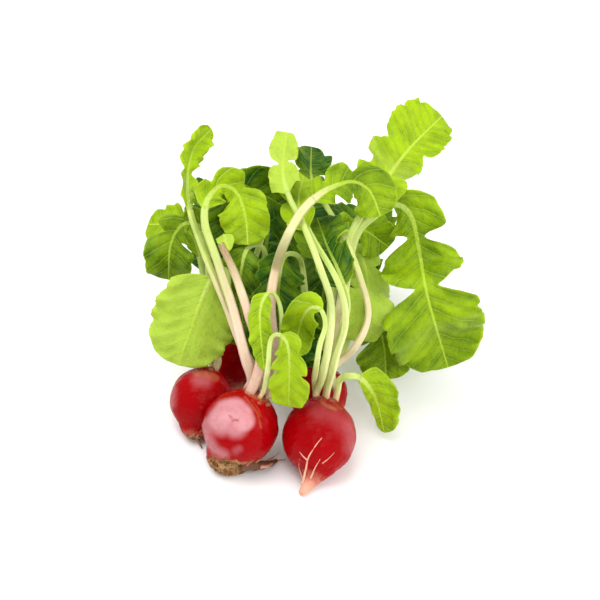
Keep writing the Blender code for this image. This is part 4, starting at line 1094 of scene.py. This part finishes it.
def put(socket, value):
    """Sets a socket to a number or a colour, or links a wire to it."""
    if isinstance(value, Wire):
        value.tree.links.new(value.socket, socket)
    elif hasattr(value, "__len__") and len(value) == 3 and len(getattr(socket, "default_value", ())) == 4:
        socket.default_value = (*value, 1.0)
    else:
        socket.default_value = value


def filled(made, inputs):
    """The node, with a value put in each of these inputs."""
    for key, value in inputs.items():
        put(made.inputs[key], value)
    return made


def calc(operation, *values):
    """A Math node of these values, one of them a wire at least."""
    tree = next(value.tree for value in values if isinstance(value, Wire))
    made = node(tree, "Math", operation=operation)
    return Wire(filled(made, dict(enumerate(values))).outputs[0])


def ramp(value, low, high, bottom=0.0, top=1.0):
    """value eased from `bottom` at low to `top` at high."""
    made = node(value.tree, "MapRange", interpolation_type="SMOOTHSTEP")
    return Wire(filled(made, {"Value": value, "From Min": low, "From Max": high, "To Min": bottom,
                              "To Max": top}).outputs[0])


def blend(factor, first, second):
    """The first colour where the factor is 0 and the second where it is 1."""
    made = node(factor.tree, "Mix", data_type="RGBA", clamp_factor=True)
    return Wire(filled(made, {0: factor, 6: first, 7: second}).outputs[2])


def place(x, y, z):
    """A place with these coordinates."""
    return Wire(filled(node(x.tree, "CombineXYZ"), {0: x, 1: y, 2: z}).outputs[0])


def noise(where, scale, detail, rough=0.55):
    """Noise from 0 to 1."""
    inputs = {"Vector": where, "Scale": scale, "Detail": detail, "Roughness": rough}
    return Wire(filled(node(where.tree, "TexNoise"), inputs).outputs["Fac"])


def scattered(where, scale, feature):
    """How far each place is from one of many scattered spots, or from the line between two of them."""
    made = node(where.tree, "TexVoronoi", feature=feature)
    return Wire(filled(made, {"Vector": where, "Scale": scale}).outputs["Distance"])


def layers(tree, *names):
    """What skin_over gives the piece under each of these names."""
    return [Wire(node(tree, "Attribute", attribute_name=name).outputs["Fac"]) for name in names]


def own_place(tree):
    """The place on the piece, in metres."""
    return Wire(node(tree, "TexCoord").outputs["Object"])


def round_place(run, turn):
    """A place that runs lengthwise, and round a circle of radius 1."""
    return place(run, calc("COSINE", turn), calc("SINE", turn))


def bumpy(shader, height, strength, distance):
    """Roughens the shader's surface by this height."""
    made = node(height.tree, "Bump")
    put(shader.inputs["Normal"],
        Wire(filled(made, {"Strength": strength, "Distance": distance, "Height": height}).outputs["Normal"]))


def effect(name, takes, gives):
    """An empty group. takes: each input's default, or None for a place. gives: its values' names."""
    made = bpy.data.node_groups.new(name, "ShaderNodeTree")
    for key, default in takes.items():
        kind = "NodeSocketVector" if default is None else "NodeSocketFloat"
        socket = made.interface.new_socket(key, in_out="INPUT", socket_type=kind)
        if default is not None:
            socket.default_value = default
    for key in gives:
        made.interface.new_socket(key, in_out="OUTPUT", socket_type="NodeSocketFloat")
    inputs = made.nodes.new("NodeGroupInput").outputs
    return made, {socket.name: Wire(socket) for socket in inputs}, made.nodes.new("NodeGroupOutput").inputs


def use(tree, group, **values):
    """What the group gives in this tree, by name."""
    made = filled(node(tree, "Group", node_tree=group), values)
    return {socket.name: Wire(socket) for socket in made.outputs}


@lru_cache(maxsize=None)
def mottle_effect():
    """Soft blotches and a fine grain, for skin, stalk and leaf."""
    group, takes, gives = effect("Mottle", {"Place": None, "Size": 80.0, "Contrast": 0.5},
                                 ("Blotch", "Grain"))
    spread = takes["Contrast"] * 0.35
    broad = noise(takes["Place"], takes["Size"], 2.0, 0.5)
    put(gives["Blotch"], ramp(broad, 0.5 - spread, 0.5 + spread, 1.0, 0.0))
    put(gives["Grain"], noise(takes["Place"], takes["Size"] * 7.0, 4.0, 0.6))
    return group


def mottled(where, size, contrast):
    """The blotches and the grain of the Mottle group at this place."""
    mottle = use(where.tree, mottle_effect(), Place=where, Size=size, Contrast=contrast)
    return mottle["Blotch"], mottle["Grain"]


@lru_cache(maxsize=None)
def vein_effect():
    """A leaf's side veins, the net between them and a painted shade of the folds beside each vein, from the
    millimetres along its rib and out from it.
    """
    group, takes, gives = effect("Leaf veins", {"Run": 0.0, "Out": 0.0, "Leaf": 0.0, "Spacing": 6.8},
                                 ("Vein", "Net", "Height", "Shade"))
    run, out, spacing = takes["Run"], takes["Out"], takes["Spacing"]
    y = calc("ABSOLUTE", out)
    side = calc("GREATER_THAN", out, 0.0) * 0.5
    spot = place(run, out, takes["Leaf"] * 37.0)
    wander = (noise(spot, 0.11, 2.0) - 0.5) * 0.28
    part = calc("FRACT", (run - y * VEIN_LEAN + y * y * VEIN_CURVE) / spacing + side + wander)
    off = calc("MINIMUM", part, 1.0 - part) * spacing
    width = calc("MAXIMUM", 0.62 - y * 0.022, 0.16)
    vein = ramp(off / width, 0.25, 1.0, 1.0, 0.0)
    mesh = scattered(spot, 0.42, "DISTANCE_TO_EDGE")
    put(gives["Vein"], vein)
    # Shade: painted shade, darker on one side of each side vein and lighter on the other, as if the blade
    # were folded there.
    put(gives["Shade"], ramp(part, 0.0, 0.35) - ramp(part, 0.55, 1.0))
    put(gives["Net"], ramp(mesh, 0.0, 0.16, 1.0, 0.0))
    put(gives["Height"], ramp(mesh, 0.0, 0.5) * 0.6 - vein * 0.8)
    return group


@lru_cache(maxsize=None)
def leaf_finish():
    """Green leaf: brighter in the light, pale along its rib, veins and underside, puckered between veins."""
    look, sizes = bpy.context.scene.radish_colours, bpy.context.scene.radish_sizes
    made, tree, shader = finish_tree("leaf", Subsurface_Weight=0.25, Subsurface_Scale=1.0,
                                     Subsurface_Radius=(0.0012, 0.0016, 0.0003), Specular_IOR_Level=0.12)
    run, out, rib, edge = layers(tree, "run", "out", "rib", "edge")
    tone, count, under, pink = layers(tree, "tone", "leaf", "under", "pink")
    veins = use(tree, vein_effect(), Run=run, Out=out, Leaf=count, Spacing=sizes.veins / MM)
    blotch, grain = mottled(place(run, out, count * 11.0), 0.07, 0.6)
    light = ramp(tone, -1.0, 1.0)
    # The blotches and grain are the leaf's own colour; the vein shade is painted shade of its folds.
    for mottle_and_fold_shade, share in ((blotch, 0.42), (grain, 0.22), (veins["Shade"], 0.18)):
        light = light + (mottle_and_fold_shade - 0.5) * share
    green = blend(light, look.leaf_dark, look.leaf_light)
    green = blend(under * 0.75, green, look.leaf_under)
    pale = blend(ramp(tone, -1.0, 0.6, 0.35, 1.0), green, look.vein)
    green = blend(veins["Net"] * 0.10, green, pale)
    green = blend(veins["Vein"] * 0.45, green, pale)
    green = blend(ramp(rib, 0.10, 0.55), green, blend(ramp(run, 0.0, 22.0), stalk_top(look, pink), pale))
    put(shader.inputs["Base Color"], blend(ramp(edge, 0.0, 0.35, 0.35, 0.0), green, pale))
    put(shader.inputs["Roughness"], ramp(grain, 0.3, 0.7, 0.42, 0.62))
    bumpy(shader, veins["Height"], 0.55, 0.0006)
    return made


def stalk_top(look, pink):
    """A stalk's colour where it meets its leaf: green, or creamier the pinker the stalk is."""
    return blend(ramp(pink, 0.5, 1.0, 0.0, 0.7), look.stalk_green, look.cream)


@lru_cache(maxsize=None)
def stalk_finish():
    """Pale ribbed stalk: pink at its foot, cream and then green, brown where it has dried."""
    look = bpy.context.scene.radish_colours
    made, tree, shader = finish_tree("stalk", Subsurface_Weight=0.2, Subsurface_Scale=1.0,
                                     Subsurface_Radius=(0.003, 0.002, 0.001))
    run, turn, up, pink, dry = layers(tree, "run", "turn", "up", "pink", "dry")
    wrap = round_place(run * 0.06, turn)
    streak = noise(wrap, 5.0, 4.0, 0.6)
    blotch, grain = mottled(wrap, 1.2, 0.7)
    foot = blend(ramp(pink, 0.1, 0.5), GREEN_FOOT, look.cream)
    body = blend(ramp(up + (blotch - 0.5) * 0.25, 0.25, 0.85), foot, stalk_top(look, pink))
    blush = pink * ramp(up, 0.3, 0.95, 1.0, 0.0) * ramp(streak, 0.35, 0.65)
    body = blend(calc("MAXIMUM", blush, ramp(run, 1.0, 7.0, 0.6, 0.0)), body, look.blush)
    body = blend(ramp(streak, 0.52, 0.75) * 0.25, body, RIDGE_COLOUR)
    body = blend(ramp(streak, 0.30, 0.40, 1.0, 0.0) * 0.45, body, GROOVE_COLOUR)
    put(shader.inputs["Base Color"], blend(dry * ramp(streak, 0.3, 0.6, 0.5, 1.0), body, DRY_COLOUR))
    put(shader.inputs["Roughness"], ramp(grain, 0.3, 0.7, 0.34, 0.52))
    bumpy(shader, streak, 0.5, 0.0004)
    return made


@lru_cache(maxsize=None)
def skin_finish():
    """Red radish skin: mottled, glossy, paler towards the tip, scarred or corky in places, and painted pale
    pink with highlights on its near side.
    """
    look = bpy.context.scene.radish_colours
    made, tree, shader = finish_tree("skin", Specular_IOR_Level=0.03, Coat_Weight=0.06, Coat_Roughness=0.25,
                                     Subsurface_Weight=0.06, Subsurface_Scale=1.0,
                                     Subsurface_Radius=(0.004, 0.001, 0.001))
    down, turn, cork, patch, scar = layers(tree, "down", "turn", "cork", "patch", "scar")
    spot = own_place(tree)
    blotch, grain = mottled(spot, 45.0, 1.2)
    fleck = scattered(round_place(down * 16.0, turn), 2.3, "F1")
    crust = noise(spot, 420.0, 5.0, 0.7)
    red = blend(blotch * 0.4, look.skin, look.skin_deep)
    red = blend(ramp(fleck, 0.04, 0.11, 0.22, 0.0), red, FLECK_COLOUR)
    red = blend(ramp(down + grain * 0.35, 1.15, 1.75) * 0.85, red, look.rootlet)
    # Painted highlight and pale skin: pale pink where the pale places are.
    red = blend(patch * ramp(grain, 0.3, 0.6, 0.8, 0.95), red, look.skin_pale_and_highlight)
    red = blend(scar * ramp(grain, 0.3, 0.6, 0.5, 1.0), red, SCAR_COLOUR)
    red = blend(ramp(down + grain * 0.10, -0.98, -0.90, 0.7, 0.0), red, TOP_COLOUR)
    brown = blend(ramp(crust, 0.4, 0.62), look.cork, LIGHT_CORK)
    put(shader.inputs["Base Color"], blend(cork, red, brown))
    put(shader.inputs["Roughness"], ramp(grain, 0.3, 0.75, 0.20, 0.34) + cork * 0.45)
    bumpy(shader, grain * 0.25 + crust * cork, 0.35, 0.0006)
    return made


@lru_cache(maxsize=None)
def rootlet_finish():
    """Pale tan rootlets, brown where they have dried and more so towards their tips."""
    look = bpy.context.scene.radish_colours
    made, tree, shader = finish_tree("rootlet")
    run, dry = layers(tree, "run", "dry")
    blotch, grain = mottled(own_place(tree), 260.0, 0.8)
    body = blend(blotch * 0.5, look.rootlet, RUST_COLOUR)
    put(shader.inputs["Base Color"], blend(dry * ramp(run, 0.0, 20.0, 0.6, 1.0), body, look.cork))
    put(shader.inputs["Roughness"], ramp(grain, 0.3, 0.7, 0.5, 0.75))
    return made


@lru_cache(maxsize=None)
def scar_finish():
    """Tan scars and torn stubs where old leaves have come away from the crown."""
    made, tree, shader = finish_tree("scar")
    blotch, grain = mottled(own_place(tree), 300.0, 0.9)
    body = blend(blotch, TORN_COLOUR, TORN_DEEP)
    put(shader.inputs["Base Color"], blend(ramp(grain, 0.55, 0.75, 0.0, 0.6), body, TORN_LIGHT))
    put(shader.inputs["Roughness"], ramp(grain, 0.3, 0.7, 0.55, 0.8))
    bumpy(shader, grain, 0.6, 0.0004)
    return made


class RADISH_OT_roots(bpy.types.Operator):
    """Build the skin of the five roots"""
    bl_idname = "radish.roots"
    bl_label = "Roots"

    def execute(self, context):
        for name in ROOTS:
            piece = root_skin(name, skin_finish(), context.scene.radish_sizes)
            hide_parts("root_" + name)
        return {"FINISHED"}


def crown_cap(name):
    """The rough top of a root, between the feet of its stalks."""
    centre, radius, axis, outline, _ = RESTED[name]
    size = outline[0][1] * radius * CROWN_SPREAD
    top = centre - axis * outline[0][0] * radius
    x, y = square_to(axis)
    angle = turns(CROWN_POINTS)
    rng = random.Random(SEED + "crown" + name)
    part = np.linspace(0, 1, CROWN_ROWS)[:, None]
    lump = ripple(rng, 8 * np.cos(angle), 8 * np.sin(angle) + 3 * part, 4.0)
    reach = size * np.sin(0.5 * math.pi * np.clip(1 - part, 0.01, 1)) * (1 + 0.07 * lump * (1 - part))
    height = CROWN_RISE * (1 - (1 - part) ** 2.2) + lump * part * (1 - part) - CROWN_SUNK
    rings = top + circles(x, y, angle) * reach[..., None] + axis * height[..., None]
    return skin_over("crown_" + name, rings, scar_finish())


def torn_stub(name, root, turn, length, size):
    """What is left of an old leaf: a short flattened stub that leans out from the shoulder."""
    centre, radius, axis, outline, _ = RESTED[root]
    x, y = square_to(axis)
    out = x * math.cos(turn) + y * math.sin(turn)
    foot = centre - axis * (outline[1][0] + 0.02) * radius + out * outline[1][1] * radius * 0.96
    forward = unit(axis * 0.85 + out * 0.55)
    side = unit(np.cross(forward, out))
    thick = np.cross(side, forward)
    part = np.linspace(0, 1, STUB_ROWS)[:, None]
    angle = turns(STUB_POINTS)
    rng = random.Random(SEED + name)
    jag = ripple(rng, 4 * np.cos(angle), 4 * np.sin(angle), 3.0)
    shrink = 1 - 0.25 * part - 0.6 * part**6
    rise = part * (length + STUB_SUNK) * (1 + 0.22 * jag * part) - STUB_SUNK
    rings = (foot + forward * rise[..., None]
             + side * (size * shrink * np.cos(angle))[..., None]
             + thick * (STUB_FLATTEN * size * shrink * np.sin(angle) * (1 + 0.1 * jag))[..., None])
    return skin_over(name, rings, scar_finish())


# root, bearing round the crown in degrees, length, half width
STUBS = (("front_right", 232, 0.9, 1.6), ("front_right", 262, 0.7, 2.4), ("front_right", 296, 0.9, 1.8),
         ("front_left", 290, 0.6, 2.6), ("front_left", 330, 1.8, 2.2),
         ("left", 240, 2.6, 1.6), ("left", 285, 1.6, 1.8), ("back", 260, 2.4, 1.6), ("middle", 250, 2.0, 1.5))


class RADISH_OT_crowns(bpy.types.Operator):
    """Build the rough crowns and the stubs of old leaves"""
    bl_idname = "radish.crowns"
    bl_label = "Crowns"

    def execute(self, context):
        for name in ROOTS:
            crown_cap(name)
        for count, (root, turn, length, size) in enumerate(STUBS):
            torn_stub(f"stub_{count + 1}", root, math.radians(turn), length, size)
        return {"FINISHED"}


# root, how brown, thickness over the setting, and the places it runs through as seen from in front
ROOTLETS = (
    ("front_right", 0.0, 1.5, ((-8.5, -24.5), (-6.4, -16), (-5.2, -11), (-2, -5), (1.5, -1.5))),
    ("front_right", 0.0, 1.0, ((-5.6, -12.5), (-8, -10.5), (-9.8, -8.5))),
    ("front_right", 0.1, 1.1, ((-4.4, -21.5), (-2, -16), (0.2, -12))),
    ("front_right", 0.2, 0.8, ((1.4, -14), (4.5, -11.5), (7.4, -8.5))),
    ("front_right", 0.3, 0.9, ((-8, -22), (-10, -16), (-9.4, -12))),
    ("front_left", 0.9, 1.1, ((-31, -14.5), (-27, -12.8), (-24, -10.5))),
    ("front_left", 1.0, 0.9, ((-36, -15.5), (-33, -12.5), (-30, -12))),
    ("left", 0.8, 1.0, ((-60, -1), (-58, 2), (-56, 3))),
)

# the places it runs through, as (across, up, height), thickness and how brown it is
TAILS = (
    ([(-38, -14, 8), (-31, -15, 5.5), (-25, -14.5, 4), (-21, -12.8, 2.5)], 3.8, 1.6),
    ([(-29, -15.8, 6), (-25, -15.3, 5), (-21.5, -12.9, 3), (-16.5, -12.2, 1.0)], 1.0, 0.5),
    ([(-27, -13.5, 4), (-22.5, -11, 2.5), (-19.5, -8.5, 1.0)], 0.45, 0.5),
    ([(-59.5, 0, 2.5), (-59, -3.5, 1.5), (-57.5, -6.5, 1.0)], 1.3, 0.8),
    ([(-7.8, -25.5, 1.6), (-9.4, -27.5, 0.9), (-9.2, -29.5, 0.5)], 1.0, 0.1),
)


class RADISH_OT_rootlets(bpy.types.Operator):
    """Grow the rootlets that cling to the roots, and the thin tails"""
    bl_idname = "radish.rootlets"
    bl_label = "Rootlets"

    def execute(self, context):
        thick = context.scene.radish_sizes.rootlet / MM
        for count, (root, brown, width, course) in enumerate(ROOTLETS):
            points = [spot_on(root, across, up, 0.15) for across, up in course]
            piece = thread(f"rootlet_{count + 1}", points, thick * width, rootlet_finish(), dry=brown)
        for count, (course, width, brown) in enumerate(TAILS):
            points = [laid(*spot) for spot in course]
            piece = thread(f"tail_{count + 1}", points, width, rootlet_finish(), dry=brown)
        return {"FINISHED"}


class RADISH_OT_stalks(bpy.types.Operator):
    """Build the ribbed stalks"""
    bl_idname = "radish.stalks"
    bl_label = "Stalks"

    def execute(self, context):
        for name in LEAVES:
            piece = stalk_skin(name, stalk_finish())
            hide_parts("stalk_" + name)
        return {"FINISHED"}


class RADISH_OT_leaves(bpy.types.Operator):
    """Build the puckered, toothed leaf blades"""
    bl_idname = "radish.leaves"
    bl_label = "Leaves"

    def execute(self, context):
        for name, item in LEAVES.items():
            if item["blade"] < 1:
                piece = blade_skin(name, leaf_finish(), context.scene.radish_sizes)
                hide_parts("blade_" + name)
        for name in LEAFLETS:
            leaflet(name, leaf_finish())
        return {"FINISHED"}


FLOOR_REACH = 3.0
FLOOR_SHADE = 0.01  # how much darker its blotches are
SENSOR = 36.0
SEEN_ACROSS = 294.0  # the width of the picture in millimetres, at the distance of the bunch
LIT_AT = (0.0, -0.01, 0.04)
# name, place, size, and power over the key light's
LIGHTS = (("key", (-0.30, 0.05, 1.15), 1.0, 1.0), ("front", (0.35, -1.0, 0.9), 0.6, 0.35),
          ("right", (0.9, -0.35, 0.45), 0.9, 0.4))


class RADISH_OT_stage(bpy.types.Operator):
    """Lay the floor, light it and set the camera"""
    bl_idname = "radish.stage"
    bl_label = "Stage"

    def execute(self, context):
        scene, settings = context.scene, context.scene.radish_stage
        mesh = bpy.data.meshes.new("floor")
        corners = [(x * FLOOR_REACH, y * FLOOR_REACH, 0) for x, y in ((-1, -1), (1, -1), (1, 1), (-1, 1))]
        mesh.from_pydata(corners, [], [(0, 1, 2, 3)])
        floor = bpy.data.objects.new("floor", mesh)
        scene.collection.objects.link(floor)
        made, tree, shader = finish_tree("floor", Roughness=0.9)
        blotch, _ = mottled(own_place(tree), 3.0, 0.3)
        light, shade = [settings.floor] * 3, [settings.floor - FLOOR_SHADE] * 3
        put(shader.inputs["Base Color"], blend(blotch, light, shade))
        mesh.materials.append(made)
        world = bpy.data.worlds.new("surround")
        world.use_nodes = True
        filled(world.node_tree.nodes["Background"], {"Color": (1.0, 1.0, 1.0), "Strength": settings.fill})
        scene.world = world
        for name, place_at, size, power in LIGHTS:
            lamp = bpy.data.lights.new(name, "AREA")
            lamp.size = size
            lamp.energy = settings.key * power
            light = bpy.data.objects.new(name, lamp)
            light.location = place_at
            light.rotation_euler = (Vector(LIT_AT) - Vector(place_at)).to_track_quat("-Z", "Y").to_euler()
            scene.collection.objects.link(light)
        camera = bpy.data.objects.new("camera", bpy.data.cameras.new("camera"))
        camera.data.sensor_width = SENSOR
        camera.data.lens = SENSOR * LOOK_FROM / SEEN_ACROSS
        camera.location = EYE * MM + row_shift()
        camera.rotation_euler = Vector(AWAY).to_track_quat("-Z", "Y").to_euler()
        scene.collection.objects.link(camera)
        scene.camera = camera
        scene.view_settings.view_transform = "Standard"
        return {"FINISHED"}


class RADISH_PT_bunch(bpy.types.Panel):
    bl_label = "Radish Bunch"
    bl_idname = "RADISH_PT_bunch"
    bl_space_type = "VIEW_3D"
    bl_region_type = "UI"
    bl_category = "Radishes"

    def draw(self, context):
        for name in ("radish_sizes", "radish_colours", "radish_stage"):
            group = getattr(context.scene, name)
            box = self.layout.box()
            for key in type(group).__annotations__:
                box.prop(group, key)
        for step in STEPS:
            self.layout.operator(step.bl_idname)


STEPS = (RADISH_OT_roots, RADISH_OT_crowns, RADISH_OT_rootlets, RADISH_OT_stalks, RADISH_OT_leaves,
         RADISH_OT_stage)
CLASSES = (RadishSizes, RadishColours, RadishStage, *STEPS, RADISH_PT_bunch)


def register():
    for cls in CLASSES:
        bpy.utils.register_class(cls)
    bpy.types.Scene.radish_sizes = PointerProperty(type=RadishSizes)
    bpy.types.Scene.radish_colours = PointerProperty(type=RadishColours)
    bpy.types.Scene.radish_stage = PointerProperty(type=RadishStage)


def unregister():
    del bpy.types.Scene.radish_sizes
    del bpy.types.Scene.radish_colours
    del bpy.types.Scene.radish_stage
    for cls in reversed(CLASSES):
        bpy.utils.unregister_class(cls)


def main():
    register()
    bpy.ops.radish.roots()
    bpy.ops.radish.crowns()
    bpy.ops.radish.rootlets()
    bpy.ops.radish.stalks()
    bpy.ops.radish.leaves()
    bpy.ops.radish.stage()


if __name__ == "__main__":
    main()
